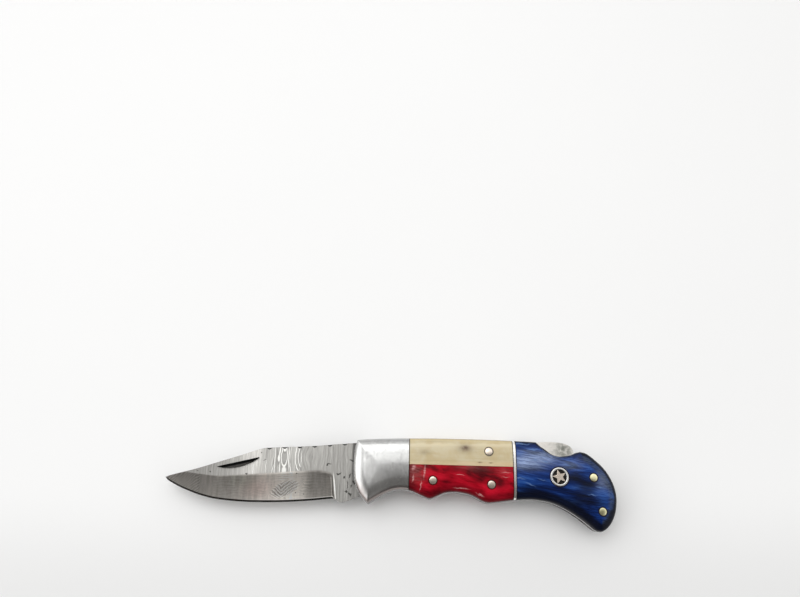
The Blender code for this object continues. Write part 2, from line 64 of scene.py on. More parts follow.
handle = {
    "length": 110.1 * mm,
    "depth": 25.0 * mm,
    "setback": 10.4 * mm,  # front of the bolsters to the pivot
    "ledges": {"front": 0.16 * mm, "belly": 0.40 * mm, "butt": 0.22 * mm, "notch": 0.06 * mm,
               "spine": 0.04 * mm},  # the liners show this much round the scales
    "seamGap": 0.08 * mm,
    "gluedGap": 0.03 * mm,
    "separatorWidth": 0.9 * mm,
    "rounding": 5.0 * mm,
    "wall": 1.0 * mm,  # upright edge of a scale, below its rounding
    "bowShare": 0.36,  # of the rise, spread as a slow bow over the whole width
    "bowReach": 12.0 * mm,
    "curveSteps": 9,
}

# Outlines in shares of the handle's length behind the bolsters' front, and of its depth above the pivot
frontShares = ((0.012, 0.524), (0.003, 0.370), (0.000, 0.156), (0.001, -0.020), (0.007, -0.196),
               (0.024, -0.360), (0.056, -0.527))
bellyShares = ((0.056, -0.527), (0.081, -0.460), (0.116, -0.378), (0.154, -0.316), (0.191, -0.302),
               (0.225, -0.334), (0.258, -0.398), (0.291, -0.450), (0.322, -0.406), (0.351, -0.358),
               (0.386, -0.346), (0.421, -0.363), (0.456, -0.408), (0.502, -0.509), (0.544, -0.508),
               (0.615, -0.474), (0.674, -0.464), (0.722, -0.486), (0.768, -0.538), (0.814, -0.636),
               (0.859, -0.770), (0.903, -0.926))
buttShares = ((0.903, -0.926), (0.916, -0.954), (0.933, -0.957), (0.9545, -0.900), (0.9735, -0.804),
              (0.9895, -0.664), (0.9975, -0.522), (1.000, -0.400), (0.998, -0.296), (0.992, -0.188),
              (0.979, -0.056), (0.960, 0.068), (0.936, 0.176), (0.914, 0.260), (0.896, 0.308),
              (0.878, 0.324))
notchShares = ((0.708, 0.484), (0.728, 0.402), (0.751, 0.312), (0.777, 0.262), (0.798, 0.247),
               (0.829, 0.261), (0.848, 0.282), (0.860, 0.305), (0.878, 0.324))
spineShares = ((0.012, 0.524), (0.061, 0.537), (0.120, 0.544), (0.213, 0.549), (0.335, 0.545),
               (0.491, 0.528), (0.622, 0.504), (0.708, 0.484))
bolsterSeamShares = (0.2145, 0.2100)
separatorSeamShares = (0.6155, 0.6080)
hornSeamShares = ((0.213, 0.110), (0.615, 0.064))


# Curves

def onHandle(shares):
    points = np.array(shares, float).reshape(-1, 2)
    return points * (handle["length"], handle["depth"]) - (handle["setback"], 0.0)


def smooth(points, steps=handle["curveSteps"]):
    # A Catmull-Rom curve through the points
    ends = np.vstack([2 * points[0] - points[1], points, 2 * points[-1] - points[-2]])
    run = []
    for a, b, c, d in zip(ends, ends[1:], ends[2:], ends[3:]):
        for t in np.arange(steps) / steps:
            run.append(b + t * (c - a) / 2 + t**2 * (a - 2.5 * b + 2 * c - d / 2)
                       + t**3 * (1.5 * (b - c) + (d - a) / 2))
    return np.vstack([run, points[-1]])


def heightAt(curve, x):
    return np.interp(x, curve[:, 0], curve[:, 1])


def stretch(curve, startX, endX):
    # The part of a curve that runs along X, between two places
    inner = curve[(curve[:, 0] > startX) & (curve[:, 0] < endX)]
    return np.vstack([(startX, heightAt(curve, startX)), inner, (endX, heightAt(curve, endX))])


def along(curve, shares):
    # Points at shares of a curve's length
    steps = np.hypot(*np.diff(curve, axis=0).T)
    reached = np.concatenate([[0.0], np.cumsum(steps)])
    at = np.asarray(shares) * reached[-1]
    return np.stack([np.interp(at, reached, curve[:, 0]), np.interp(at, reached, curve[:, 1])], axis=1)


def insetLoop(loop, amounts):
    # A closed outline, counter-clockwise, moved inwards along the bisector at each point
    ahead = np.roll(loop, -1, axis=0) - loop
    ahead /= np.linalg.norm(ahead, axis=1)[:, None]
    before = np.roll(ahead, 1, axis=0)
    inward = np.column_stack([-(ahead + before)[:, 1], (ahead + before)[:, 0]])
    inward /= np.linalg.norm(inward, axis=1)[:, None]
    facing = inward[:, 0] * -ahead[:, 1] + inward[:, 1] * ahead[:, 0]
    return loop + inward * (amounts / np.maximum(facing, 0.5))[:, None]


def scaleCurves():
    # The scales' own outline lies a ledge inside the liners', and is split again at the same corners
    runs = [smooth(onHandle(shares)) for shares in (frontShares, bellyShares, buttShares)]
    runs += [smooth(onHandle(shares))[::-1] for shares in (notchShares, spineShares)]
    ledges = [handle["ledges"][side] for side in ("front", "belly", "butt", "notch", "spine")]
    amounts = np.concatenate([np.full(len(run) - 1, ledge) for run, ledge in zip(runs, ledges)])
    for _ in range(12):
        amounts = (np.roll(amounts, 1) + 2 * amounts + np.roll(amounts, -1)) / 4
    loop = insetLoop(np.vstack([run[:-1] for run in runs]), amounts)
    corners = np.cumsum([0] + [len(run) - 1 for run in runs])
    closed = np.vstack([loop, loop[:1]])
    front, belly, butt, notch, spine = (closed[a:b + 1] for a, b in zip(corners, corners[1:]))
    return loop, front, belly, butt, notch[::-1], spine[::-1]


scaleLoop, scaleFront, scaleBelly, scaleButt, scaleNotch, scaleSpine = scaleCurves()


def seam(shares, offset=0.0):
    # A straight seam from the spine to the belly, moved along X by an offset
    xs = onHandle([(share, 0.0) for share in shares])[:, 0] + offset
    return np.array(((xs[0], heightAt(scaleSpine, xs[0])), (xs[1], heightAt(scaleBelly, xs[1]))))


def seamPoint(line, y):
    return np.array((np.interp(y, line[::-1, 1], line[::-1, 0]), y))


def levels(node):
    # How far a node on the left side stands from the knife's middle: its inner and outer face
    low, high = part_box(node)
    return low.z - home[2], high.z - home[2]


def middle(node):
    low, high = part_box(node)
    return np.array((low.x + high.x, low.y + high.y)) / 2 - home[:2]


def halfWidth(node):
    low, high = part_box(node)
    return (high.x - low.x) / 2


linerInside, linerOutside = levels("liner_left")
scaleInside, scaleOutside = levels("horn_scale_left")
bladeHalf = levels("blade")[1]


# Nodes

class Flow:
    # What a node gives out. Sums and products with it make the nodes that work them out
    def __init__(self, socket):
        self.socket = socket
        self.tree = socket.id_data

    def reckon(self, operation, first, second):
        kind = "ShaderNodeVectorMath" if self.socket.type == "VECTOR" else "ShaderNodeMath"
        return put(self.tree, kind, {0: first, 1: second}, operation=operation)[0]

    def __add__(self, other):
        return self.reckon("ADD", self, other)

    def __sub__(self, other):
        return self.reckon("SUBTRACT", self, other)

    def __rsub__(self, other):
        return self.reckon("SUBTRACT", other, self)

    def __mul__(self, other):
        return self.reckon("MULTIPLY", self, other)

    def __truediv__(self, other):
        return self.reckon("DIVIDE", self, other)


class Outputs:
    # What a node gives out, by name or number
    def __init__(self, node):
        self.node = node

    def __getitem__(self, key):
        return Flow(self.node.outputs[key])


def wire(node, wires):
    # Each input is linked to a flow, or set
    for name, value in wires.items():
        if isinstance(value, Flow):
            value.tree.links.new(value.socket, node.inputs[name])
        else:
            node.inputs[name].default_value = value


def put(tree, kind, wires=None, **settings):
    node = tree.nodes.new(kind)
    for name, value in settings.items():
        setattr(node, name, value)
    wire(node, wires or {})
    return Outputs(node)


def step(kind, wires, **settings):
    # A node in the tree that its inputs come from
    tree = next(value.tree for value in wires.values() if isinstance(value, Flow))
    return put(tree, kind, wires, **settings)


def geo(kind, first, wires=None, **settings):
    # A geometry node, with what it works on first
    return step(f"GeometryNode{kind}", {0: first, **(wires or {})}, **settings)


def calc(operation, *values, clamp=False):
    return step("ShaderNodeMath", dict(enumerate(values)), operation=operation, use_clamp=clamp)[0]


def measure(operation, *vectors):
    return step("ShaderNodeVectorMath", dict(enumerate(vectors)), operation=operation)["Value"]


def parts(vector):
    return step("ShaderNodeSeparateXYZ", {0: vector})


def newTree(name, floats, others):
    tree = bpy.data.node_groups.new(name, "GeometryNodeTree")
    for label, kind in {"Geometry": "Geometry", **dict.fromkeys(floats, "Float"), **others}.items():
        tree.interface.new_socket(label, in_out="INPUT", socket_type=f"NodeSocket{kind}")
    tree.interface.new_socket("Geometry", in_out="OUTPUT", socket_type="NodeSocketGeometry")
    return tree, put(tree, "NodeGroupInput")


def endTree(given, geometry):
    real = geo("RealizeInstances", geometry)[0]
    dressed = geo("SetMaterial", real, {"Material": given["Material"]})[0]
    step("NodeGroupOutput", {"Geometry": dressed})
    return dressed.tree


def runTree(piece, tree, values):
    # The tree works once on the piece, which keeps the plain mesh
    modifier = piece.modifiers.new(tree.name, "NODES")
    modifier.node_group = tree
    for socket in tree.interface.items_tree:
        if socket.in_out == "INPUT" and socket.name in values:
            modifier[socket.identifier] = values[socket.name]
    graph = bpy.context.evaluated_depsgraph_get()
    made = bpy.data.meshes.new_from_object(piece.evaluated_get(graph), preserve_all_data_layers=True,
                                           depsgraph=graph)
    piece.modifiers.remove(modifier)
    piece.data = made


# Pieces

weld = 1e-7  # metres between points that are one


def addObject(name, data):
    made = bpy.data.objects.new(name, data)
    bpy.context.scene.collection.objects.link(made)
    return made


def addMesh(name, vertices, faces, edges=()):
    # A new object, its mesh given about the pivot
    mesh = bpy.data.meshes.new(name)
    mesh.from_pydata([tuple(v) for v in np.reshape(vertices, (-1, 3)) + home], list(edges), faces)
    return addObject(name, mesh)


def giveAttribute(piece, name, kind, values):
    made = piece.data.attributes.new(name, kind, "POINT")
    field = "vector" if kind == "FLOAT_VECTOR" else "value"
    made.data.foreach_set(field, np.array(values, np.float32).ravel())


def reworkMesh(mesh, distance, finish, work):
    # Doubles are merged and the rest of the work is done on whole faces
    shape = bmesh.new()
    shape.from_mesh(mesh)
    bmesh.ops.remove_doubles(shape, verts=shape.verts, dist=distance)
    work(shape)
    shape.to_mesh(mesh)
    shape.free()
    mesh.materials.clear()
    mesh.materials.append(finishes[finish])


def faceOutwards(shape):
    bmesh.ops.recalc_face_normals(shape, faces=shape.faces)


def crease(piece, degrees=35.0):
    piece.data.shade_smooth()
    piece.data.set_sharp_from_angle(angle=math.radians(degrees))


def softenEdges(piece, width):
    bevel = piece.modifiers.new("softEdges", "BEVEL")
    bevel.width = width
    bevel.segments = 2
    bevel.limit_method = "ANGLE"
    bevel.angle_limit = math.radians(50.0)
    bevel.harden_normals = False


def mount(piece, body, slot, *nodes):
    # The finished piece moves with its body, if it has just one, and stands for its nodes
    if body:
        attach(piece, body)
    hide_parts(*nodes)


# Materials: shared steps

def newMaterial(name):
    made = bpy.data.materials.new(name)
    made.use_nodes = True
    return made, made.node_tree.nodes["Principled BSDF"]


def knifeMaterial(name):
    # With its shader, and places in millimetres about the pivot
    made, shader = newMaterial(name)
    place = put(made.node_tree, "ShaderNodeTexCoord")["Object"]
    scaled = step("ShaderNodeMapping", {"Vector": place, "Scale": (1000.0,) * 3, "Location": tuple(-home / mm)})
    return made, shader, scaled[0]


def turned(place, degrees):
    return step("ShaderNodeMapping", {"Vector": place, "Rotation": (0.0, 0.0, math.radians(degrees))})[0]


def stretched(place, scale, turn=0.0):
    # The place turned about Z and scaled along each axis, for grain and brush marks
    return step("ShaderNodeMapping", {"Vector": turned(place, turn), "Scale": scale})[0]


def noise(place, scale=1.0, detail=4.0, roughness=0.5, distortion=0.0, output="Fac"):
    return step("ShaderNodeTexNoise", {"Vector": place, "Scale": scale, "Detail": detail,
                                       "Roughness": roughness, "Distortion": distortion})[output]


def swayed(place, scale, amount):
    # Moves a flat pattern's places about, so that its lines wander
    bent = step("ShaderNodeSeparateColor", {0: noise(place, scale, 3.0, output="Color")})
    offset = step("ShaderNodeCombineXYZ", {0: bent[0], 1: bent[1], 2: 0.5})[0] - (0.5, 0.5, 0.5)
    return place + offset * (amount, amount, 0.0)


def between(value, low, high, start=0.0, end=1.0):
    # A smooth step between two values
    return step("ShaderNodeMapRange", {"Value": value, "From Min": low, "From Max": high, "To Min": start,
                                       "To Max": end}, interpolation_type="SMOOTHSTEP")[0]


def spot(place, x, y, wide, high, z=0.0, deep=99.0):
    # 1 in the middle of an oval, fading to 0 outside it; it goes right through the knife unless z is given
    far = measure("LENGTH", (place - (x, y, z)) / (wide, high, deep))
    return calc("EXPONENT", far * far * -1.0)


def rgba(colour):
    # A number stands for a grey
    return (*colour, 1.0) if isinstance(colour, tuple) else (colour, colour, colour, 1.0)


def ramp(value, stops):
    made = step("ShaderNodeValToRGB", {"Fac": value})
    elements = made.node.color_ramp.elements
    while len(elements) < len(stops):
        elements.new(0.5)
    for element, (at, colour) in zip(elements, stops):
        element.position = at
        element.color = rgba(colour)
    return made["Color"]


def mixed(factor, first, second, blend="MIX"):
    first, second = (colour if isinstance(colour, Flow) else rgba(colour) for colour in (first, second))
    return step("ShaderNodeMix", {0: factor, 6: first, 7: second}, data_type="RGBA", blend_type=blend,
                clamp_result=False)[2]


def times(first, second):
    return mixed(1.0, first, second, "MULTIPLY")


def spotted(colour, place, marks, tint=None, patchy=None):
    # Soft ovals, each with its depth, in one tint or each in its own
    for x, y, wide, high, depth, *own in marks:
        amount = spot(place, x, y, wide, high) * depth
        colour = mixed(amount * patchy if patchy else amount, colour, own[0] if own else tint)
    return colour


def bump(shader, height, distance, strength=1.0):
    # Distance is in millimetres
    normal = step("ShaderNodeBump", {"Height": height, "Distance": distance * mm, "Strength": strength})[0]
    wire(shader, {"Normal": normal})


def attribute(place, name):
    return put(place.tree, "ShaderNodeAttribute", attribute_name=name)["Fac"]


def fromEdge(place):
    # 0 at a scale's outline and 1 where its rounding ends
    return attribute(place, "fromEdge")


glue = {
    "colour": (0.012, 0.008, 0.006),
    "depth": 0.85,
    "reach": 0.52,  # millimetres
    "full": 0.26,
    "pinShare": 0.8,  # of the distance to a pin counts, as glue spreads wider there
}
leftPins = ("rocker_pin", "red_pin_front_left", "red_pin_rear_left", "rear_pin_upper", "rear_pin_lower")


def glued(place, colour):
    # Dark glue shows at the straight seams and round the pins
    x, y = parts(place)[0], parts(place)[1]
    near = glue["reach"]
    for shares, offset in ((bolsterSeamShares, 0.0), (separatorSeamShares, 0.0),
                           (separatorSeamShares, handle["separatorWidth"])):
        upper, lower = seam(shares, offset) / mm
        slope = (upper[0] - lower[0]) / (upper[1] - lower[1])
        line = calc("MULTIPLY_ADD", y, slope, lower[0] - slope * lower[1])
        near = calc("MINIMUM", calc("ABSOLUTE", x - line), near)
    flat = place * (1.0, 1.0, 0.0)
    for node in (*leftPins, "star_ring_left"):
        outside = measure("DISTANCE", flat, (*(middle(node) / mm), 0.0)) - halfWidth(node) / mm
        near = calc("MINIMUM", outside * glue["pinShare"], near)
    return mixed(between(near, glue["reach"], glue["full"], 0.0, glue["depth"]), colour, glue["colour"])


# Metals: fine brush marks, a few handling scratches and soft stains, with painted light and shade on some
# pieces

metals = {
    "bolsterSteel": {"colour": (0.64, 0.64, 0.63), "roughness": 0.22, "brush": (7.0, 0.35, 0.5),
                     "marks": 0.32, "stains": 0.45},
    "linerSteel": {"colour": (0.74, 0.74, 0.74), "roughness": 0.24, "brush": (0.5, 6.0, 6.0),
                   "marks": 0.4, "stains": 0.25},
    "lockSteel": {"colour": (0.93, 0.90, 0.84), "roughness": 0.30, "brush": (0.4, 5.0, 5.0),
                  "marks": 0.6, "stains": 0.5},
    "nickelSilver": {"colour": (0.88, 0.765, 0.65), "roughness": 0.24, "brush": (4.0, 4.0, 1.0),
                     "marks": 0.4, "stains": 0.4},
    "ringSilver": {"colour": (0.96, 0.95, 0.92), "roughness": 0.22, "brush": (4.0, 4.0, 1.0),
                   "marks": 0.3, "stains": 0.2},
    "brass": {"colour": (0.97, 0.92, 0.58), "roughness": 0.22, "brush": (4.0, 4.0, 1.0),
              "marks": 0.4, "stains": 0.5},
}


def metal(name):
    look = metals[name]
    made, shader, place = knifeMaterial(name)
    brush = noise(stretched(place, look["brush"]), 1.0, 5.0, 0.6)
    stain = noise(place, 0.35, 5.0, 0.62, 0.6)
    scratched = between(noise(stretched(place, (0.25, 5.0, 5.0), 63.0), 1.0, 3.0, 0.7), 0.67, 0.72)
    dark = tuple(channel * 0.62 for channel in look["colour"])
    colour = mixed(between(stain, 0.45, 0.75) * look["stains"], look["colour"], dark)
    colour = times(colour, between(brush, 0.35, 0.65, 0.90, 1.04))
    if name == "bolsterSteel":
        # Painted shade on the rounding along the belly and at the lower front corner
        height = parts(place)[1]
        bellyShade = between(fromEdge(place), 0.42, 0.10) * between(height, -2.0, -6.0)
        bolsterShade = calc("MAXIMUM", bellyShade * 0.85, spot(place, -7.2, -9.4, 2.4, 3.8) * 0.75)
        # Painted shade over the top of the bolster
        colour = mixed(between(height, 4.5, 8.0, 0.0, 0.24), colour, 0.10)
        # Painted highlights on the front rim and a little below the middle
        bolsterHighlight = calc("MAXIMUM", spot(place, -1.0, -3.8, 4.0, 2.6), spot(place, -7.6, 4.0, 1.4, 6.0))
        colour = mixed(bolsterHighlight * 0.5, colour, (0.88, 0.88, 0.87))
        colour = mixed(bolsterShade, colour, (0.25, 0.205, 0.19))
    if name == "brass":
        # Painted shade on the lower pin's end
        lowerPinShade = (*(middle("rear_pin_lower") / mm), 1.2, 1.2, 0.6)
        colour = spotted(colour, place, (lowerPinShade,), (0.34, 0.32, 0.16))
    if name == "lockSteel":
        # The pad has a painted highlight at the front, and is darker and mottled towards its end
        mottle = between(noise(place, 0.55, 4.0, 0.6), 0.36, 0.58, 0.30, 1.0)
        rear = spot(place, 79.8, 8.9, 3.8, 4.2) * mottle
        colour = mixed(calc("MULTIPLY", rear, 0.95, clamp=True), colour, (0.22, 0.23, 0.20))
        colour = spotted(colour, place, ((69.5, 10.6, 4.2, 2.6, 0.7),), (1.0, 0.955, 0.90))
    rough = brush * 0.16 + stain * 0.10 + (look["roughness"] - 0.13) + scratched * 0.08
    wire(shader, {"Base Color": colour, "Roughness": rough, "Metallic": 1.0})
    bump(shader, brush * 0.5 - scratched * 0.5, 0.012, look["marks"])
    return made


# Layered steel: the layers are levels of one slow field, so its humps show as nested rings

layeredSteel = {
    "flatPitch": 2.2,  # millimetres from one bold layer to the next
    "flatShift": 0.35,
    "groundPitch": 1.15,
    "humps": ((-31.6, 6.2, 3.2, 4.4, 0.0, 9.0, 2.2),),
    "rings": (  # humps that the layers close about
        (-40.5, 6.6, 1.3, 4.2, 0.13), (-31.7, 6.4, 4.1, 7.5, 0.05), (-31.7, 6.6, 2.85, 5.6, 0.065)),
    "lines": (
        (-44.5, 4.4, 7.2, 0.2, 91.0), (-42.5, 8.4, 2.6, 0.24, 88.0), (-42.8, 5.6, 1.5, 0.48, 90.0),
        (-42.4, 0.6, 3.6, 0.24, 88.0), (-40.5, 9.3, 0.85, 0.55, 90.0), (-40.4, 0.7, 1.6, 0.95, 90.0),
        (-38.5, 5.6, 5.4, 0.22, 90.0), (-37.7, 0.9, 2.8, 0.22, 96.0), (-48.2, 2.2, 3.6, 0.13, 90.0),
        (-33.2, 5.4, 3.6, 0.16, 90.0), (-45.3, 0.6, 2.6, 0.16, 86.0), (-53.6, 0.8, 3.0, 0.1, 90.0)),
    "figured": (-39.0, 4.0, 7.0, 14.0, 0.0, 90.0),  # where the layers stand out most
    "chevron": ((-39.7, -6.9, 6.4, 2.9, 21.0),),
    "chevronFold": -41.2,
    "wavy": (
        (-39.0, -2.6, 5.0, 2.2, 0.0, 90.0, 0.38), (-31.5, -5.2, 5.0, 4.6, 0.0, 90.0, 0.3),
        (-61.0, -5.6, 5.5, 3.6, 0.0, 90.0, 0.22), (-50.0, -7.6, 4.5, 2.4, 0.0, 90.0, 0.2)),
    "plunge": ((-18.42, -6.7, 5.7, 0.25, 96.6),),  # a painted highlight stands behind painted shade
    "plungeDark": ((-19.25, -6.9, 5.4, 0.5, 95.0),),
    "squiggles": (
        (-16.8, -0.7, 1.4, 0.36, 30.0), (-14.6, -2.4, 0.55, 0.5, 0.0), (-13.1, -5.4, 2.3, 0.36, 88.0),
        (-13.5, -8.0, 0.8, 0.45, 0.0), (-12.0, -1.6, 1.2, 0.32, 66.0), (-10.4, -4.4, 0.9, 0.46, 118.0),
        (-11.9, -9.2, 1.2, 0.4, 128.0), (-11.4, 4.6, 0.8, 0.36, 140.0), (-11.7, -6.0, 1.1, 0.28, 80.0),
        (-56.2, -0.5, 0.55, 0.45, 0.0), (-71.8, -0.2, 0.45, 0.38, 0.0), (-77.2, 0.5, 0.36, 0.3, 0.0),
        (-48.6, 5.2, 0.6, 0.16, -5.0), (-21.6, 2.9, 1.3, 0.2, -6.0)),
    "casts": ((-51.5, -6.5, 7.0, 4.5, (1.08, 0.97, 0.96)), (-58.5, -3.5, 5.0, 3.0, (0.93, 0.97, 0.94))),
    "bold": (
        (0.0, (0.33, 0.325, 0.31)), (0.16, (0.37, 0.365, 0.345)), (0.24, (0.92, 0.915, 0.87)),
        (0.33, (0.34, 0.335, 0.32)), (0.52, (0.42, 0.415, 0.39)), (0.62, (1.0, 0.99, 0.95)),
        (0.74, (0.55, 0.54, 0.51)), (1.0, (0.33, 0.325, 0.31))),
    "fine": (
        (0.3, (0.32, 0.312, 0.295)), (0.46, (0.5, 0.488, 0.462)), (0.56, (0.57, 0.557, 0.528)),
        (0.68, (0.78, 0.765, 0.725))),
    "ground": (
        (0.0, (0.13, 0.124, 0.114)), (0.24, (0.17, 0.163, 0.15)), (0.5, (1.0, 0.96, 0.9)),
        (0.76, (0.42, 0.4, 0.37)), (1.0, (0.13, 0.124, 0.114))),
    "calm": ((0.32, (0.43, 0.405, 0.37)), (0.52, (0.57, 0.54, 0.5)), (0.7, (0.7, 0.65, 0.59))),
    "tone": (  # painted light and shade along the flat, from the tip to the bolsters
        (0.02, 0.52), (0.22, 0.68), (0.3, 0.8), (0.43, 1.18), (0.53, 0.88), (0.64, 0.86), (0.74, 0.88),
        (0.84, 0.72), (0.97, 0.68)),
    "sheen": (  # painted light and shade along the bevel
        (0.0, 0.45), (0.18, 0.53), (0.3, 0.65), (0.5, 0.83), (0.66, 1.4), (0.84, 1.9), (0.91, 1.1),
        (0.94, 0.62), (1.0, 0.46)),
}


def layerLines(field, pitch, stops):
    return ramp(calc("FRACT", field / pitch), stops)


def fromLoops(place, loops):
    # How far a place is from a line round an oval, in widths of the line; wide ovals show one side
    near = 9.0
    for x, y, wide, high, width in loops:
        flat = (place - (x, y, 0.0)) * (1 / wide, 1 / high, 0.0)
        far = calc("ABSOLUTE", measure("LENGTH", flat) - 1.0) / width
        if wide > 2.0:
            far = far + between(parts(flat)[0], -0.65, -0.35, 0.0, 9.0)
        near = calc("MINIMUM", far, near)
    return near


def fromStrokes(place, strokes):
    # How far a place is from the middle of the nearest long thin oval, in shares of its radii
    near = 9.0
    for x, y, long, thin, degrees in strokes:
        flat = (place - (x, y, 0.0)) * (1.0, 1.0, 0.0)
        near = calc("MINIMUM", measure("LENGTH", turned(flat, -degrees) / (long, thin, 1.0)), near)
    return near


def flatSteel(place, x, y):
    # The flat of the blade: fine layers, bold ones where they are figured, and the drawn loops and lines, under
    # painted light along it and painted shade next to the bolsters
    look = layeredSteel
    wander = noise(place, 0.10, 2.0) * 2.2 + noise(stretched(place, (0.5, 0.20, 0.5)), 1.0, 3.0) * 0.9
    field = x + look["flatShift"] + wander
    for *oval, height in look["humps"]:
        field = field + spot(place, *oval) * height
    across = step("ShaderNodeCombineXYZ", {0: field * 1.5, 1: y * 0.07, 2: 0.0})[0]
    streaks = noise(across, 1.0, 5.0, 0.7)
    loud = between(spot(place, *look["figured"]), 0.05, 0.75, 0.12, 0.45)
    colour = mixed(loud, ramp(streaks, look["fine"]), layerLines(field, look["flatPitch"], look["bold"]))
    little = swayed(place, 0.5, 0.7)
    inside = spot(little, *look["rings"][0][:2], 1.7, 5.0)
    colour = mixed(between(inside, 0.25, 0.55), colour, (0.44, 0.432, 0.41))
    near = calc("MINIMUM", fromLoops(little, look["rings"]), fromStrokes(little, look["lines"]))
    colour = mixed(between(near, 2.6, 1.5, 0.0, 0.65), colour, (0.30, 0.295, 0.28))
    colour = mixed(between(near, 1.30, 0.65), colour, (0.95, 0.94, 0.90))
    # Painted shade on the flat next to the bolsters
    shaded = between(x + calc("ABSOLUTE", y) * -0.02, -12.2, -10.7) * between(y, -9.0, 1.0, 0.35, 0.85)
    return times(colour, mixed(shaded, ramp(between(x, -90.0, -10.0), look["tone"]), 0.12)), streaks


def groundSteel(place, x, y):
    # The ground bevel: calm, with flowing lines in a folded patch, at the tip and where it is wavy, under
    # painted light along it
    look = layeredSteel
    grain = noise(stretched(place, (0.22, 0.30, 0.5), -12.0), 1.0, 2.0, 0.45)
    patch = between(fromStrokes(place, look["chevron"]), 1.5, 0.35)
    aside = x - look["chevronFold"]
    fold = calc("MAXIMUM", aside * -0.55, aside * 0.58) * -1.0 * between(patch, 0.02, 0.4)
    atTip = between(x, -70.0, -76.0)
    ripple = noise(stretched(place, (0.42, 0.60, 0.5), 20.0), 1.0, 2.0)
    field = calc("MULTIPLY_ADD", ripple, 1.5, y) + grain * 2.4 + fold + atTip * (x * -0.8)
    loud = calc("MAXIMUM", between(patch, 0.25, 0.80, 0.08, 0.90), atTip * 0.32)
    faded = between(noise(place, 0.30, 3.0, 0.6), 0.40, 0.60)
    for *oval, depth in look["wavy"]:
        loud = calc("MAXIMUM", loud, spot(place, *oval) * depth * faded)
    calm = ramp(noise(stretched(place, (0.55, 0.10, 0.5)), 1.0, 4.0, 0.6), look["calm"])
    colour = mixed(loud, calm, layerLines(field, look["groundPitch"], look["ground"]))
    for *oval, cast in look["casts"]:
        colour = mixed(spot(place, *oval), colour, cast, "MULTIPLY")
    return times(colour, ramp(between(x, -90.0, -18.0), look["sheen"]))


def patternedSteel():
    look = layeredSteel
    made, shader, place = knifeMaterial("patternedSteel")
    x, y = parts(place)[0], parts(place)[1]
    mark = attribute(place, "ground")
    flatLook, streaks = flatSteel(place, x, y)
    colour = mixed(between(mark, 0.0, 1.0), flatLook, groundSteel(place, x, y))
    # Painted shade along the plunge, with a painted highlight just behind it
    colour = mixed(between(fromStrokes(place, look["plungeDark"]), 1.25, 0.7, 0.0, 0.75), colour,
                   (0.05, 0.048, 0.044))
    colour = mixed(between(fromStrokes(place, look["plunge"]), 1.30, 0.75), colour, (0.97, 0.96, 0.92))
    # A painted highlight along the edge bevel
    edgeHighlight = between(mark, 1.12, 1.24) * between(x, -62.0, -40.0)
    colour = mixed(edgeHighlight * 0.6, colour, (0.98, 0.96, 0.92))
    # A painted dark reflection along the cutting edge
    colour = mixed(between(mark, 1.34, 1.50), colour, (0.035, 0.033, 0.030))
    pits = step("ShaderNodeTexVoronoi", {"Vector": place, "Scale": 0.34})["Distance"]
    pitted = between(pits, 0.13, 0.05) * between(noise(place, 0.21, 1.0), 0.50, 0.56)
    cuts = fromStrokes(swayed(place, 0.5, 3.0), look["squiggles"])
    marked = calc("MAXIMUM", pitted, between(cuts, 1.25, 0.55))
    rough = 0.46 - step("ShaderNodeSeparateColor", {0: colour})[0] * 0.14
    wire(shader, {"Base Color": mixed(marked * 0.9, colour, (0.04, 0.038, 0.035)), "Roughness": rough,
                  "Metallic": 1.0})
    bump(shader, streaks * 0.4 - marked, 0.02, 0.5)
    return made


def etchedDark():
    # The nail nick keeps the dark of the etch, with painted shade, blackest, under its upper edge
    made, shader, place = knifeMaterial("etchedDark")
    colour = ramp(noise(place, 1.4, 4.0, 0.6), ((0.3, (0.045, 0.043, 0.040)), (0.7, (0.085, 0.082, 0.076))))
    below = measure("DOT_PRODUCT", place - (-68.9, 2.2, 0.0), (0.21, -0.978, 0.0))
    nickShade = between(below, 1.5, 0.9) * between(parts(place)[1], 8.5, 8.0)
    wire(shader, {"Base Color": mixed(nickShade, colour, 0.004), "Roughness": 0.55, "Metallic": 1.0})
    return made


# Horn: pale and cloudy, with fine layers along its length and a few brown spots, a painted highlight band near
# the top and painted shade on its rounding

hornLook = {
    "pale": (0.575, 0.5, 0.325),
    "deep": (0.52, 0.415, 0.23),
    "band": (0.53, 0.43, 0.235),
    "glow": (0.68, 0.6, 0.41),
    "warm": (0.66, 0.49, 0.29),
    "rim": (0.22, 0.175, 0.095),
    "brown": (0.1, 0.05, 0.02),
    "layer": (0.44, 0.34, 0.17),
    "knots": (
        (36.9, 9.4, 1.5, 0.9, 6.9, 3.0, 0.97), (36.9, 9.1, 3.4, 1.9, 6.9, 3.0, 0.5),
        (19.8, 7.6, 2.4, 1.2, 7.2, 3.0, 0.32), (42.9, 3.4, 0.9, 0.28, 7.2, 3.0, 0.8),
        (47.4, 3.2, 0.8, 0.24, 7.2, 3.0, 0.7), (24.0, 12.2, 6.0, 0.4, 7.0, 3.0, 0.14),
        (28.0, 8.0, 1.3, 0.9, -7.0, 3.0, 0.8), (44.0, 5.6, 2.4, 1.3, -7.2, 3.0, 0.35)),
}


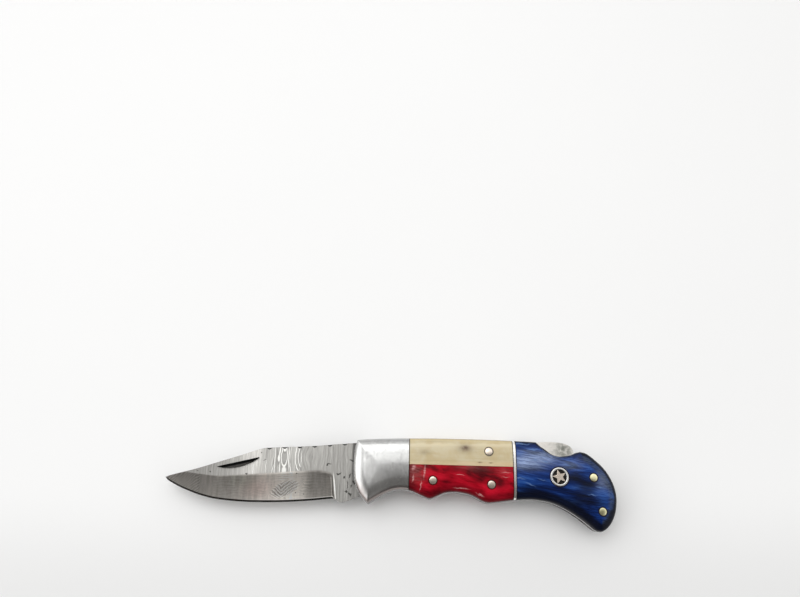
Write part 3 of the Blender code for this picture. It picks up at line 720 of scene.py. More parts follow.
def horn():
    made, shader, place = knifeMaterial("horn")
    cloud = noise(place, 0.16, 4.0, 0.55, 0.4)
    layers = noise(stretched(place, (0.05, 1.5, 1.5), 2.0), 1.0, 3.0)
    height = parts(place)[1] + (cloud - 0.5) * 2.2
    glow = between(height, 9.3, 10.6) * between(height, 11.6, 10.8)
    colour = mixed(between(cloud, 0.35, 0.68), hornLook["pale"], hornLook["deep"])
    # The band and the rim are painted shade on the rounding, darkest at the outline, and the highlight band is
    # painted light
    for amount, tint in ((between(layers, 0.52, 0.72, 0.0, 0.30), "layer"),
                         (between(fromEdge(place), 0.36, 0.04, 0.0, 0.85), "band"),
                         (glow * 0.6, "glow"),
                         (between(height, 4.4, 2.6, 0.0, 0.55), "warm"),
                         (between(fromEdge(place), 0.12, 0.05, 0.0, 0.7), "rim")):
        colour = mixed(amount, colour, hornLook[tint])
    frayed = between(noise(place, 1.1, 3.0, 0.6), 0.2, 0.6, 0.7, 1.1)
    for *oval, depth in hornLook["knots"]:
        knot = calc("MULTIPLY", spot(place, *oval) * frayed, depth, clamp=True)
        colour = mixed(knot, colour, hornLook["brown"])
    wire(shader, {"Base Color": glued(place, colour), "Roughness": between(cloud, 0.3, 0.7, 0.28, 0.40),
                  "Subsurface Weight": 0.12, "Subsurface Radius": (1.0, 0.75, 0.4),
                  "Subsurface Scale": 0.8 * mm, "Coat Weight": 0.2, "Coat Roughness": 0.16})
    bump(shader, layers, 0.02, 0.25)
    return made


# Dyed wood: streaks along the grain between dark pores, with painted shade where the edge rounds off

woods = {
    "redWood": {
        "stops": (
            (0.22, (0.03, 0.001, 0.003)), (0.35, (0.16, 0.001, 0.006)), (0.46, (0.33, 0.002, 0.011)),
            (0.66, (0.5, 0.006, 0.022))),
        "grain": (0.1, 0.24, 0.3),
        "turn": 12.0,
        "fine": (0.3, 2.2, 2.2),
        "streak": 0.1,
        "edge": (0.035, 0.001, 0.003),
        "edgeDepth": 0.55,
        "darkSide": 0.45,
        "clouds": (
            (43.5, 0.2, 8.0, 2.6, 0.8), (51.0, -5.0, 2.4, 1.6, 0.7), (43.4, -2.6, 1.6, 1.6, 0.6),
            (13.6, 0.5, 1.6, 9.0, 0.75), (33.0, 0.6, 3.6, 1.2, 0.5), (28.0, -4.6, 2.2, 0.8, 0.5)),
        "haze": (0.28, 0.1, 0.095),
        "hazes": ((16.0, -0.5, 3.4, 4.0, 0.72), (38.0, 1.6, 5.0, 0.9, 0.4), (53.0, 0.0, 3.4, 2.0, 0.3)),
        "tints": (
            (42.4, 0.9, 5.0, 1.5, 0.7, (0.085, 0.03, 0.028)),
            (50.2, -5.2, 1.7, 1.5, 0.8, (0.04, 0.003, 0.005)),
            (30.5, -3.6, 2.8, 1.0, 0.4, (0.1, 0.002, 0.006))),
        "glint": (0.66, 0.36, 0.35),
        "glints": (
            (19.5, -0.2, 2.5, 0.42, 83.0), (17.9, -5.8, 1.8, 0.28, 80.0), (15.2, 1.4, 1.1, 0.8, 60.0),
            (14.8, -2.8, 1.5, 0.26, 75.0), (34.8, -7.0, 2.9, 0.25, -7.0), (42.4, -9.5, 1.7, 0.26, -24.0),
            (34.4, -1.6, 1.7, 0.18, -10.0), (53.4, -0.6, 1.8, 0.16, -2.0), (53.2, -2.4, 1.6, 0.14, -2.0)),
    },
    "blueWood": {
        "stops": (
            (0.28, (0.002, 0.004, 0.016)), (0.42, (0.003, 0.012, 0.07)), (0.55, (0.007, 0.032, 0.17)),
            (0.72, (0.035, 0.1, 0.34))),
        "grain": (0.06, 0.34, 0.36),
        "turn": 10.0,
        "fine": (0.18, 2.6, 2.6),
        "streak": 0.24,
        "edge": (0.003, 0.004, 0.01),
        "edgeDepth": 0.88,
        "darkSide": 0.93,
        # dark patches in the grain; those towards the belly are painted shade
        "clouds": (
            (80.0, -3.2, 7.5, 1.9, 0.85), (87.5, -5.6, 4.6, 1.9, 0.85), (64.0, -8.2, 12.0, 2.0, 0.7),
            (82.5, -12.6, 8.0, 3.2, 0.85), (63.0, 1.4, 5.0, 1.2, 0.45)),
        "haze": (0.36, 0.46, 0.7),
        "hazes": (
            (62.0, 4.0, 8.0, 2.8, 0.95), (69.5, 5.4, 5.5, 2.4, 0.65), (61.0, 8.0, 6.5, 1.0, 0.15),
            (81.0, 2.4, 5.0, 2.0, 0.3)),
        # patches of their own colour; the grey at the butt is a painted reflection and the thin dark line along
        # the top is painted shade
        "tints": (
            (86.4, -7.6, 3.9, 2.9, 0.92, (0.01, 0.012, 0.019)),
            (93.6, -4.6, 2.6, 4.0, 1.0, (0.15, 0.17, 0.22)),
            (82.0, -2.0, 3.4, 1.6, 0.65, (0.014, 0.017, 0.028)),
            (66.5, 1.2, 3.4, 1.6, 0.55, (0.02, 0.026, 0.05)),
            (93.2, -9.4, 2.3, 4.6, 0.65, (0.022, 0.09, 0.34)),
            (60.5, -4.4, 6.5, 2.2, 0.45, (0.01, 0.06, 0.23)),
            (86.5, 5.0, 5.0, 2.2, 0.55, (0.045, 0.053, 0.095)),
            (62.0, 9.8, 8.0, 0.55, 0.75, (0.005, 0.011, 0.045))),
        "glint": (0.12, 0.21, 0.42),
        "glints": (
            (59.5, -3.0, 2.2, 0.3, -14.0), (63.5, -5.4, 2.0, 0.28, -20.0),
            (68.5, -3.6, 1.8, 0.28, -12.0), (66.0, 4.4, 1.6, 0.45, -4.0), (59.8, 6.6, 1.5, 0.5, 10.0),
            (70.2, 3.8, 1.3, 0.36, -20.0), (65.5, 8.6, 2.6, 0.32, -4.0), (88.5, -9.6, 1.8, 0.26, -8.0),
            (92.0, -6.6, 1.5, 0.34, -14.0), (80.5, 2.2, 2.4, 0.26, -10.0), (60.0, 11.1, 5.0, 0.32, -1.0)),
        "rim": (0.065, 0.09, 0.11),
    },
}


def dyedWood(name):
    look = woods[name]
    made, shader, place = knifeMaterial(name)
    broad = noise(stretched(place, look["grain"], look["turn"]), 1.0, 4.0, 0.55, 0.8)
    fine = noise(stretched(place, look["fine"], look["turn"]), 1.0, 5.0, 0.65, 0.3)
    colour = ramp(broad + (fine - 0.5) * (look["streak"] * 2), look["stops"])
    colour = spotted(colour, place, look["clouds"], look["edge"])
    # Painted shade on the rounding
    colour = mixed(between(fromEdge(place), 0.35, 0.02, 0.0, look["edgeDepth"]), colour, look["edge"])
    patchy = between(fine, 0.40, 0.62, 0.40, 1.0)
    colour = spotted(colour, place, look["tints"], None, patchy)
    # Pale hazes: a painted highlight on the blue, a dusty haze on the red
    colour = spotted(colour, place, look["hazes"], look["haze"], patchy)
    # Painted shade on the rounding towards the belly, from the way the surface leans; on a blue scale a painted
    # grey reflection on the butt's rounding, with a painted dark outline
    lean = parts(put(place.tree, "ShaderNodeTexCoord")["Normal"])
    if "rim" in look:
        outwards = between(lean[0], 0.01, 0.09) * between(parts(place)[0], 80.0, 85.0)
        band = between(fromEdge(place), 0.97, 0.58) * outwards
        colour = mixed(band * (patchy * 0.50), colour, look["rim"])
        outline = between(fromEdge(place), 0.42, 0.24) * outwards
        colour = mixed(outline * 0.92, colour, look["edge"])
    below = between(lean[1], -0.03, -0.16) * between(fromEdge(place), 0.80, 0.45)
    colour = mixed(below * look["darkSide"], colour, look["edge"])
    # Painted glints, with a few pale scratches at the front of the red
    shown = between(fromStrokes(swayed(place, 0.6, 1.6), look["glints"]), 1.5, 0.2)
    colour = mixed(shown * (patchy * 0.85), colour, look["glint"])
    wire(shader, {"Base Color": glued(place, colour), "Roughness": between(fine, 0.35, 0.65, 0.24, 0.36),
                  "Specular IOR Level": 0.07, "Coat Weight": 0.08, "Coat Roughness": 0.08})
    bump(shader, fine, 0.015, 0.3)
    return made


def darkResin():
    made, shader, place = knifeMaterial("darkResin")
    speck = noise(place, 3.0, 4.0, 0.6)
    wire(shader, {"Base Color": ramp(speck, ((0.35, (0.006, 0.005, 0.004)), (0.75, (0.024, 0.021, 0.018)))),
                  "Roughness": between(speck, 0.3, 0.7, 0.40, 0.55), "Specular IOR Level": 0.15})
    bump(shader, speck, 0.02, 0.2)
    return made


finishes = {name: metal(name) for name in metals}
finishes.update({name: dyedWood(name) for name in woods})
finishes.update({make.__name__: make() for make in (patternedSteel, etchedDark, horn, darkResin)})
print("finishes made", len(finishes))


# Crowned pieces: bolsters, scales and separators share one surface that rises from the handle's outline

crownFloats = ("Edge Level", "Top Level", "Rounding", "Bow Share", "Bow Reach", "Side", "Middle")


def crownValues(side):
    return {"Outline": outlineGuide, "Edge Level": linerOutside + handle["wall"], "Top Level": scaleOutside,
            "Rounding": handle["rounding"], "Bow Share": handle["bowShare"], "Bow Reach": handle["bowReach"],
            "Side": float(side), "Middle": float(home[2])}


def position(tree):
    return put(tree, "GeometryNodeInputPosition")[0]


def named(tree, name, kind="FLOAT"):
    return put(tree, "GeometryNodeInputNamedAttribute", {"Name": name}, data_type=kind)["Attribute"]


def stored(geometry, name, value):
    return geo("StoreNamedAttribute", geometry, {"Name": name, "Value": value}, data_type="FLOAT",
               domain="POINT")[0]


def quarterRise(distance, reach):
    share = calc("DIVIDE", distance, reach, clamp=True)
    left = 1.0 - share
    return calc("SQRT", 1.0 - left * left), share


def crownHeight(tree, given):
    # The level of the scales' surface above the knife's middle, and how far inside the rounding a point is
    guide = geo("ObjectInfo", given["Outline"])["Geometry"]
    near = geo("Proximity", guide, {"Sample Position": position(tree) * (1.0, 1.0, 0.0)},
               target_element="EDGES")["Distance"]
    sharp, inside = quarterRise(near, given["Rounding"])
    slow, _ = quarterRise(near, given["Bow Reach"])
    rise = sharp * (1.0 - given["Bow Share"]) + slow * given["Bow Share"]
    span = given["Top Level"] - given["Edge Level"]
    return calc("MULTIPLY_ADD", rise, span, given["Edge Level"]), inside


def atLevel(tree, given, level):
    # The same place at a level on the given side
    place = parts(position(tree))
    height = calc("MULTIPLY_ADD", level, given["Side"], given["Middle"])
    return step("ShaderNodeCombineXYZ", {0: place[0], 1: place[1], 2: height})[0]


def closedShell(face, raised):
    # What was raised from a face gets that face, turned over, as its back
    join = put(face.tree, "GeometryNodeJoinGeometry")
    for geometry in (raised, geo("FlipFaces", face)[0]):
        wire(join.node, {0: geometry})
    return geo("MergeByDistance", join[0], {"Distance": weld})[0]


def drilled(tree, geometry, drills):
    # Cylinders stand on the points, each as wide and long as its own size says
    bit = put(tree, "GeometryNodeMeshCylinder", {"Vertices": 48, "Radius": 1.0, "Depth": 1.0})["Mesh"]
    points = geo("ObjectInfo", drills)["Geometry"]
    size = named(tree, "drillSize", "FLOAT_VECTOR")
    bits = geo("InstanceOnPoints", points, {"Instance": bit, "Scale": size})[0]
    real = geo("RealizeInstances", bits)[0]
    return geo("MeshBoolean", geometry, {"Mesh 2": real}, operation="DIFFERENCE", solver="EXACT")["Mesh"]


def crownedShellTree():
    # A flat grid gets its back, its walls and its crown, and is drilled for the pins
    tree, given = newTree("crownedShell", (*crownFloats, "Back Level"),
                          {"Outline": "Object", "Drills": "Object", "Material": "Material"})
    flat = geo("SetPosition", given["Geometry"], {"Position": atLevel(tree, given, given["Back Level"])})[0]
    raised = geo("ExtrudeMesh", flat, {"Offset Scale": 0.0, "Individual": False}, mode="FACES")
    level, inside = crownHeight(tree, given)
    crowned = geo("SetPosition", raised["Mesh"], {"Selection": raised["Top"],
                                                  "Position": atLevel(tree, given, level)})[0]
    cut = drilled(tree, closedShell(flat, crowned), given["Drills"])
    return endTree(given, stored(cut, "fromEdge", inside))


def makeOutlineGuide():
    count = len(scaleLoop)
    points = np.column_stack([scaleLoop, np.full(count, -home[2])])
    return addMesh("outlineGuide", points, [], [(i, (i + 1) % count) for i in range(count)])


drillGap = 0.05 * mm
pinNodes = {"nickelPins": ("rocker_pin", "red_pin_front_left", "red_pin_rear_left", "red_pin_front_right",
                           "red_pin_rear_right"),
            "brassPins": ("rear_pin_upper", "rear_pin_lower")}


def makeDrills():
    # One bit for each pin, through the whole knife, and blind ones for the pivot and the inlays
    places, sizes = [], []
    through = 4 * scaleOutside
    for node in leftPins:
        width = halfWidth(node) + drillGap
        places.append((*middle(node), 0.0))
        sizes.append((width, width, through))
    pivotWide, pivotLong = halfWidth("pivot_pin") + drillGap, levels("pivot_pin")[1] + drillGap
    places.append((*middle("pivot_pin"), 0.0))
    sizes.append((pivotWide, pivotWide, 2 * pivotLong))
    inlayWide, inlayFloor = halfWidth("star_ring_left") + drillGap, levels("star_resin_left")[0] - drillGap
    for side in leftAndRight.values():
        places.append((*middle("star_ring_left"), side * (inlayFloor + scaleOutside)))
        sizes.append((inlayWide, inlayWide, 2 * scaleOutside))
    drills = addMesh("drillPlaces", places, [])
    giveAttribute(drills, "drillSize", "FLOAT_VECTOR", sizes)
    return drills


def patch(top, bottom, left, right, across, down):
    # A Coons patch between four edges: top and bottom run along X, left and right run down
    u, v = np.asarray(across)[None, :, None], np.asarray(down)[:, None, None]
    upper, lower = along(top, across)[None], along(bottom, across)[None]
    front, rear = along(left, down)[:, None], along(right, down)[:, None]
    corners = ((1 - u) * (1 - v) * top[0] + u * (1 - v) * top[-1]
               + (1 - u) * v * bottom[0] + u * v * bottom[-1])
    return (1 - v) * upper + v * lower + (1 - u) * front + u * rear - corners


def crowded(count, start, end):
    # Shares from 0 to 1 that crowd towards the ends that lie on the rounded outline
    turn = np.linspace(0.0, 1.0, count + 1)
    if start and end:
        return (1 - np.cos(np.pi * turn)) / 2
    if start:
        return 1 - np.cos(np.pi / 2 * turn)
    return np.sin(np.pi / 2 * turn) if end else turn


def bolsterGrid():
    rear = seam(bolsterSeamShares, -handle["gluedGap"])
    top = stretch(scaleSpine, scaleSpine[0, 0], rear[0, 0])
    bottom = stretch(scaleBelly, scaleBelly[0, 0], rear[1, 0])
    return patch(top, bottom, scaleFront, rear, crowded(56, True, False), crowded(64, True, True))


def middleSeams():
    return seam(bolsterSeamShares, handle["gluedGap"]), seam(separatorSeamShares, -handle["gluedGap"])


def hornSeam(front, rear, lift):
    # The ends of the seam between horn and red, moved up or down
    slope = onHandle(hornSeamShares)
    return np.array([seamPoint(line, heightAt(slope, line[0, 0]) + lift) for line in (front, rear)])


def hornGrid():
    front, rear = middleSeams()
    ends = hornSeam(front, rear, handle["seamGap"] / 2)
    return patch(stretch(scaleSpine, front[0, 0], rear[0, 0]), ends, np.array((front[0], ends[0])),
                 np.array((rear[0], ends[1])), crowded(90, False, False), crowded(40, True, False))


def redGrid():
    front, rear = middleSeams()
    ends = hornSeam(front, rear, -handle["seamGap"] / 2)
    return patch(ends, stretch(scaleBelly, front[1, 0], rear[1, 0]), np.array((ends[0], front[1])),
                 np.array((ends[1], rear[1])), crowded(120, False, False), crowded(52, False, True))


def separatorGrid():
    front, rear = seam(separatorSeamShares), seam(separatorSeamShares, handle["separatorWidth"])
    return patch(stretch(scaleSpine, front[0, 0], rear[0, 0]), stretch(scaleBelly, front[1, 0], rear[1, 0]),
                 front, rear, crowded(4, False, False), crowded(72, True, True))


def blueGrid():
    front = seam(separatorSeamShares, handle["separatorWidth"] + handle["gluedGap"])
    top = np.vstack([stretch(scaleSpine, front[0, 0], scaleSpine[-1, 0]), scaleNotch[1:]])
    return patch(top, stretch(scaleBelly, front[1, 0], scaleBelly[-1, 0]), front, scaleButt[::-1],
                 crowded(110, False, True), crowded(72, True, True))


crownedPieces = {
    "bolster": {"grid": bolsterGrid, "finish": "bolsterSteel", "slot": "bolster_steel"},
    "horn_scale": {"grid": hornGrid, "finish": "horn", "slot": "horn"},
    "red_scale": {"grid": redGrid, "finish": "redWood", "slot": "red_wood"},
    "separator": {"grid": separatorGrid, "finish": "ringSilver", "slot": "nickel_silver"},
    "blue_scale": {"grid": blueGrid, "finish": "blueWood", "slot": "blue_wood"},
}


def flatGrid(name, grid, side):
    # Faces look out of the knife on their own side
    down, across = grid.shape[:2]
    points = np.column_stack([grid.reshape(-1, 2), np.zeros(down * across)])
    index = np.arange(down * across).reshape(down, across)
    faces = []
    for i in range(down - 1):
        for j in range(across - 1):
            face = (index[i, j], index[i + 1, j], index[i + 1, j + 1], index[i, j + 1])
            faces.append(tuple(int(k) for k in (face if side > 0 else face[::-1])))
    return addMesh(name, points, faces)


outlineGuide = makeOutlineGuide()
drillPlaces = makeDrills()
crownedShell = crownedShellTree()
for kind, look in crownedPieces.items():
    grid = look["grid"]()
    for label, side in leftAndRight.items():
        piece = flatGrid(f"{label}_{kind}", grid, side)
        runTree(piece, crownedShell, {**crownValues(side), "Back Level": scaleInside, "Drills": drillPlaces,
                                      "Material": finishes[look["finish"]]})
        crease(piece)
        mount(piece, "handle_body", look["slot"], f"{kind}_{label}")
print("crowned pieces made")


# Pins: round bars whose ends are filed to the scales' surface and slightly domed

pins = {"dome": 0.10 * mm, "sunk": 0.03 * mm, "innerGap": 0.05 * mm}


def pinTree():
    tree, given = newTree("filedPins", (*crownFloats, "Inner Level", "Radius", "Dome", "Sunk"),
                          {"Outline": "Object", "Material": "Material"})
    bar = put(tree, "GeometryNodeMeshCylinder", {"Vertices": 48, "Side Segments": 1, "Fill Segments": 7,
                                                 "Radius": given["Radius"], "Depth": 1.0},
              fill_type="TRIANGLE_FAN")["Mesh"]
    place = position(tree)
    bar = stored(bar, "pinEnd", calc("SIGN", parts(place)[2]))
    bar = stored(bar, "pinAway", measure("LENGTH", place * (1.0, 1.0, 0.0)) / given["Radius"])
    bars = geo("InstanceOnPoints", given["Geometry"], {"Instance": bar})[0]
    end, rim, pinSide = (named(tree, name) for name in ("pinEnd", "pinAway", "pinSide"))
    level, _ = crownHeight(tree, given)
    swell = 1.0 - calc("POWER", rim, 2.5)
    domed = calc("MULTIPLY_ADD", swell, given["Dome"], level) - given["Sunk"]
    # An end that looks inwards, against the pin's side, stops at the inner level
    outwards = calc("GREATER_THAN", calc("MULTIPLY_ADD", end, pinSide, 0.5), 0.0)
    ends = domed * end * outwards + given["Inner Level"] * pinSide * (1.0 - outwards)
    filed = geo("SetPosition", geo("RealizeInstances", bars)[0], {"Position": atLevel(tree, given, ends)})[0]
    return endTree(given, filed)


def makePins(name, nodes, finish, slot):
    sides = [leftAndRight.get(node.split("_")[-1], 0) for node in nodes]
    piece = addMesh(name, [(*middle(node), 0.0) for node in nodes], [])
    giveAttribute(piece, "pinSide", "FLOAT", sides)
    runTree(piece, filedPins, {**crownValues(1), "Inner Level": linerInside + pins["innerGap"],
                               "Radius": halfWidth(nodes[0]), "Dome": pins["dome"], "Sunk": pins["sunk"],
                               "Material": finishes[finish]})
    crease(piece)
    mount(piece, "handle_body", slot, *nodes)


filedPins = pinTree()
makePins("nickel_pins", pinNodes["nickelPins"], "nickelSilver", "nickel_silver")
makePins("brass_pins", pinNodes["brassPins"], "brass", "brass")
print("pins made")


# Star inlay: a five-point star and a ring around it, over dark filler

inlay = {"points": 5, "turn": 104.0, "innerShare": 0.43, "edge": 0.07 * mm, "gap": 0.05 * mm}
inlayPlace = middle("star_ring_left")
ringLow, ringHigh = levels("star_ring_left")
starLow, starHigh = levels("star_left")
ringOutside = halfWidth("star_ring_left")
ringInside = halfWidth("star_resin_left") + inlay["gap"]


def starTree():
    tree, given = newTree("starPlate", ("Outside", "Inside", "Turn", "Thickness"),
                          {"Points": "Int", "Place": "Vector", "Material": "Material"})
    outline = put(tree, "GeometryNodeCurveStar", {"Points": given["Points"], "Inner Radius": given["Inside"],
                                                  "Outer Radius": given["Outside"]})["Curve"]
    face = geo("FillCurve", outline, mode="NGONS")[0]
    raised = geo("ExtrudeMesh", face, {"Offset": (0.0, 0.0, 1.0), "Offset Scale": given["Thickness"],
                                       "Individual": False}, mode="FACES")["Mesh"]
    turn = step("ShaderNodeCombineXYZ", {2: given["Turn"]})[0]
    return endTree(given, geo("Transform", closedShell(face, raised), {"Translation": given["Place"],
                                                                       "Rotation": turn})[0])


def ringTree():
    tree, given = newTree("ringBand", ("Radius", "Width", "Height", "Edge"),
                          {"Place": "Vector", "Material": "Material"})
    circle = put(tree, "GeometryNodeCurvePrimitiveCircle", {"Resolution": 96,
                                                            "Radius": given["Radius"]})["Curve"]
    section = put(tree, "GeometryNodeCurvePrimitiveQuadrilateral", {"Width": given["Width"],
                                                                    "Height": given["Height"]})[0]
    soft = geo("FilletCurve", section, {"Count": 4, "Radius": given["Edge"]}, mode="POLY")[0]
    band = geo("CurveToMesh", circle, {"Profile Curve": soft})[0]
    return endTree(given, geo("Transform", band, {"Translation": given["Place"]})[0])


def makeInlays():
    stars, rings = starTree(), ringTree()
    for label, side in leftAndRight.items():
        star = addMesh(f"{label}_star", [], [])
        starBase = starLow if side > 0 else -starHigh
        runTree(star, stars, {
            "Points": inlay["points"], "Outside": ringInside - inlay["gap"],
            "Inside": (ringInside - inlay["gap"]) * inlay["innerShare"], "Turn": math.radians(inlay["turn"]),
            "Thickness": starHigh - starLow, "Place": tuple(home + (*inlayPlace, starBase)),
            "Material": finishes["nickelSilver"]})
        softenEdges(star, inlay["edge"])
        crease(star)
        mount(star, "handle_body", "nickel_silver", f"star_{label}")
        ring = addMesh(f"{label}_star_ring", [], [])
        runTree(ring, rings, {
            "Radius": (ringOutside + ringInside) / 2, "Width": ringOutside - ringInside,
            "Height": ringHigh - ringLow, "Edge": inlay["edge"] * 2,
            "Place": tuple(home + (*inlayPlace, side * (ringLow + ringHigh) / 2)),
            "Material": finishes["ringSilver"]})
        crease(ring, 60.0)
        mount(ring, "handle_body", "nickel_silver", f"star_ring_{label}")


makeInlays()
print("inlays made")


# Blade: a dense height field from the spine to the edge, with the tang as flat faces behind it

blade = {
    "length": 80.7 * mm,
    "width": 22.2 * mm,
    "edgeHalf": 0.05 * mm,
    "cutHalf": 0.20 * mm,  # where the final edge bevel starts
    "cutRun": 0.55 * mm,
    "darkRun": 1.3 * mm,  # where the painted dark reflection along the cutting edge starts
    "hollowPower": 1.5,
    "tipPower": 0.8,
    "plungeRun": 1.3 * mm,
    "chamfer": 0.10 * mm,
    "tangRadius": 8.5 * mm,
    "shoulderOffset": 1.0 * mm,
    "shoulderInset": 0.7 * mm,
    "nickDepth": 0.5 * mm,
    "nickBelly": 2.0 * mm,
    "fileRadius": 1.5 * mm,
    "fileDepth": 0.55 * mm,
    "filePitch": 6.5 * mm,
    "fileCount": 6,
    "columns": 230,
    "plungeColumns": 44,
    "flatRows": 12,
    "groundRows": 34,
}
tipX = -(handle["setback"] + blade["length"])

# Outlines in shares of the blade's length behind the tip, and of its width above the pivot
clipShares = ((0.000, -0.090), (0.027, -0.058), (0.059, -0.030), (0.099, 0.003), (0.183, 0.081),
              (0.286, 0.194), (0.389, 0.306), (0.467, 0.396), (0.512, 0.441), (0.553, 0.455),
              (0.708, 0.475), (0.790, 0.488), (0.867, 0.508), (0.935, 0.526), (1.001, 0.540))
edgeShares = ((0.000, -0.090), (0.014, -0.143), (0.038, -0.194), (0.082, -0.272), (0.136, -0.350),
              (0.192, -0.419), (0.278, -0.492), (0.405, -0.538), (0.511, -0.550), (0.642, -0.547),
              (0.772, -0.523), (0.897, -0.487), (0.906, -0.536))
grindShares = ((0.099, 0.003), (0.176, -0.036), (0.270, -0.081), (0.346, -0.081), (0.556, -0.045),
               (0.778, 0.000), (0.900, 0.000))
plungeShares = ((0.830, 0.000), (0.862, -0.024), (0.882, -0.064), (0.891, -0.135), (0.8965, -0.293),
                (0.9020, -0.480), (0.9035, -0.530))
kickShares = ((0.906, -0.536), (0.929, -0.550), (0.953, -0.545), (0.981, -0.514), (1.007, -0.477),
              (1.030, -0.446))
nickShares = ((0.275, 0.099), (0.494, 0.270))
fileShare = 0.545
tangArcDegrees = (-130.0, 83.0)


def onBlade(shares):
    points = np.array(shares, float).reshape(-1, 2)
    return points * (blade["length"], blade["width"]) + (tipX, 0.0)


bladeSpine = smooth(onBlade(clipShares), 12)
bladeEdge = smooth(onBlade(edgeShares), 12)
bladeGrind = smooth(onBlade(grindShares), 12)
bladePlunge = smooth(onBlade(plungeShares), 12)


def distanceTo(curve, points):
    # From each point to an open curve
    starts, runs = curve[:-1], np.diff(curve, axis=0)
    offsets = points[:, None, :] - starts[None]
    share = np.clip((offsets * runs).sum(axis=2) / (runs**2).sum(axis=1), 0.0, 1.0)
    return np.linalg.norm(offsets - share[..., None] * runs, axis=2).min(axis=1)


def bladeColumns():
    # Rows of x, y, half the thickness and a mark: 1 for ground steel, up to 2 on the cutting edge, where a
    # highlight and a dark reflection are painted
    rearX = bladePlunge[-1, 0]
    turnX = bladePlunge[0, 0]
    turn = np.linspace(0.0, 1.0, blade["plungeColumns"] + 1)[1:]
    stations = np.concatenate([np.linspace(tipX, turnX, blade["columns"]),
                               turnX + (rearX - turnX) * np.sin(np.pi / 2 * turn)])
    flat = np.linspace(0.0, 1.0, blade["flatRows"] + 1)[1:-1]
    ground = np.linspace(0.0, 1.0, blade["groundRows"] + 1)
    grindStart = bladeGrind[0, 0]
    columns = []
    for x in stations:
        top, bottom = heightAt(bladeSpine, x), heightAt(bladeEdge, x)
        line = min(heightAt(bladeGrind, x), top)
        start = min(line, heightAt(bladePlunge, x)) if x > turnX else line
        taper = min((x - tipX) / (grindStart - tipX), 1.0)**blade["tipPower"]
        full = blade["cutHalf"] + (bladeHalf - blade["cutHalf"]) * taper
        chamfer = min(blade["chamfer"], (top - start) / 3)
        flatYs = np.concatenate([[top, top - chamfer], top - chamfer + (start - top + chamfer) * flat])
        flatHalves = np.concatenate([[full - chamfer], np.full(len(flat) + 1, full)])
        groundYs = start + (bottom - start) * ground
        down = np.clip((line - groundYs) / max(line - bottom, 1e-9), 0.0, 1.0)
        hollow = blade["cutHalf"] + (full - blade["cutHalf"]) * (1.0 - down)**blade["hollowPower"]
        off = distanceTo(bladePlunge, np.column_stack([np.full(len(groundYs), x), groundYs]))
        kept = np.clip(off / blade["plungeRun"], 0.0, 1.0)
        kept = kept * kept * (3.0 - 2.0 * kept)
        cut = np.clip((groundYs - bottom) / blade["cutRun"], 0.0, 1.0)
        halves = full + (hollow - full) * kept
        halves = blade["edgeHalf"] + (halves - blade["edgeHalf"]) * (1.0 - (1.0 - cut) * kept.max())
        ys = np.concatenate([flatYs, groundYs])
        dark = 1.0 - np.clip((groundYs - bottom) / blade["darkRun"], 0.0, 1.0)
        marks = np.concatenate([np.zeros(len(flatYs)), 1.0 + dark * kept.max()])
        columns.append(np.column_stack([np.full(len(ys), x), ys, np.concatenate([flatHalves, halves]), marks]))
    return np.array(columns)


def arc(radius, degrees, count):
    angles = np.radians(np.linspace(*degrees, count))
    return np.stack([np.cos(angles), np.sin(angles)], axis=1) * radius


def tangOutline(bottom):
    # From below the plunge along the kick and the tang's round, up the stop shoulder and back to the spine
    shoulderX = blade["shoulderOffset"]
    spineLine = smooth(onHandle(spineShares))
    shoulderY = heightAt(spineLine, shoulderX) - blade["shoulderInset"]
    kick = smooth(np.vstack([bottom, onBlade(kickShares)[1:]]), 10)[1:]
    return np.vstack([kick, arc(blade["tangRadius"], tangArcDegrees, 90), [(shoulderX, shoulderY)],
                      stretch(bladeSpine, bladePlunge[-1, 0], bladeSpine[-1, 0])[::-1][:-1]])


def makeBlade():
    columns = bladeColumns()
    down, rows = columns.shape[:2]
    sheet = columns.reshape(-1, 4)
    tang = tangOutline(sheet[-1, :2])
    count, tangCount = len(sheet), len(tang)
    halves = np.full(tangCount, bladeHalf)
    vertices = np.vstack([sheet[:, :3], sheet[:, :3] * (1, 1, -1), np.column_stack([tang, halves]),
                          np.column_stack([tang, -halves])])
    tangTop, tangUnder = 2 * count, 2 * count + tangCount
    faces = []
    for i in range(down - 1):
        for j in range(rows - 1):
            a, b = i * rows + j, (i + 1) * rows + j
            faces.append((a, a + 1, b + 1, b))
            faces.append((count + a, count + b, count + b + 1, count + a + 1))
        top, low = i * rows, i * rows + rows - 1
        faces.append((top, top + rows, count + top + rows, count + top))
        faces.append((low, count + low, count + low + rows, low + rows))
    last = (down - 1) * rows
    plunge = [last + j for j in range(rows)]
    upperLoop = plunge + [tangTop + k for k in range(tangCount)]
    lowerLoop = [count + k for k in plunge] + [tangUnder + k for k in range(tangCount)]
    faces += [tuple(upperLoop), tuple(lowerLoop[::-1])]
    for k in range(rows - 1, len(upperLoop)):
        after = (k + 1) % len(upperLoop)
        faces.append((upperLoop[k], upperLoop[after], lowerLoop[after], lowerLoop[k]))
    piece = addMesh("patterned_blade", vertices, faces)
    marks = np.concatenate([sheet[:, 3], sheet[:, 3], np.zeros(2 * tangCount)])
    giveAttribute(piece, "ground", "FLOAT", marks)
    reworkMesh(piece.data, weld, "patternedSteel", faceOutwards)
    return piece


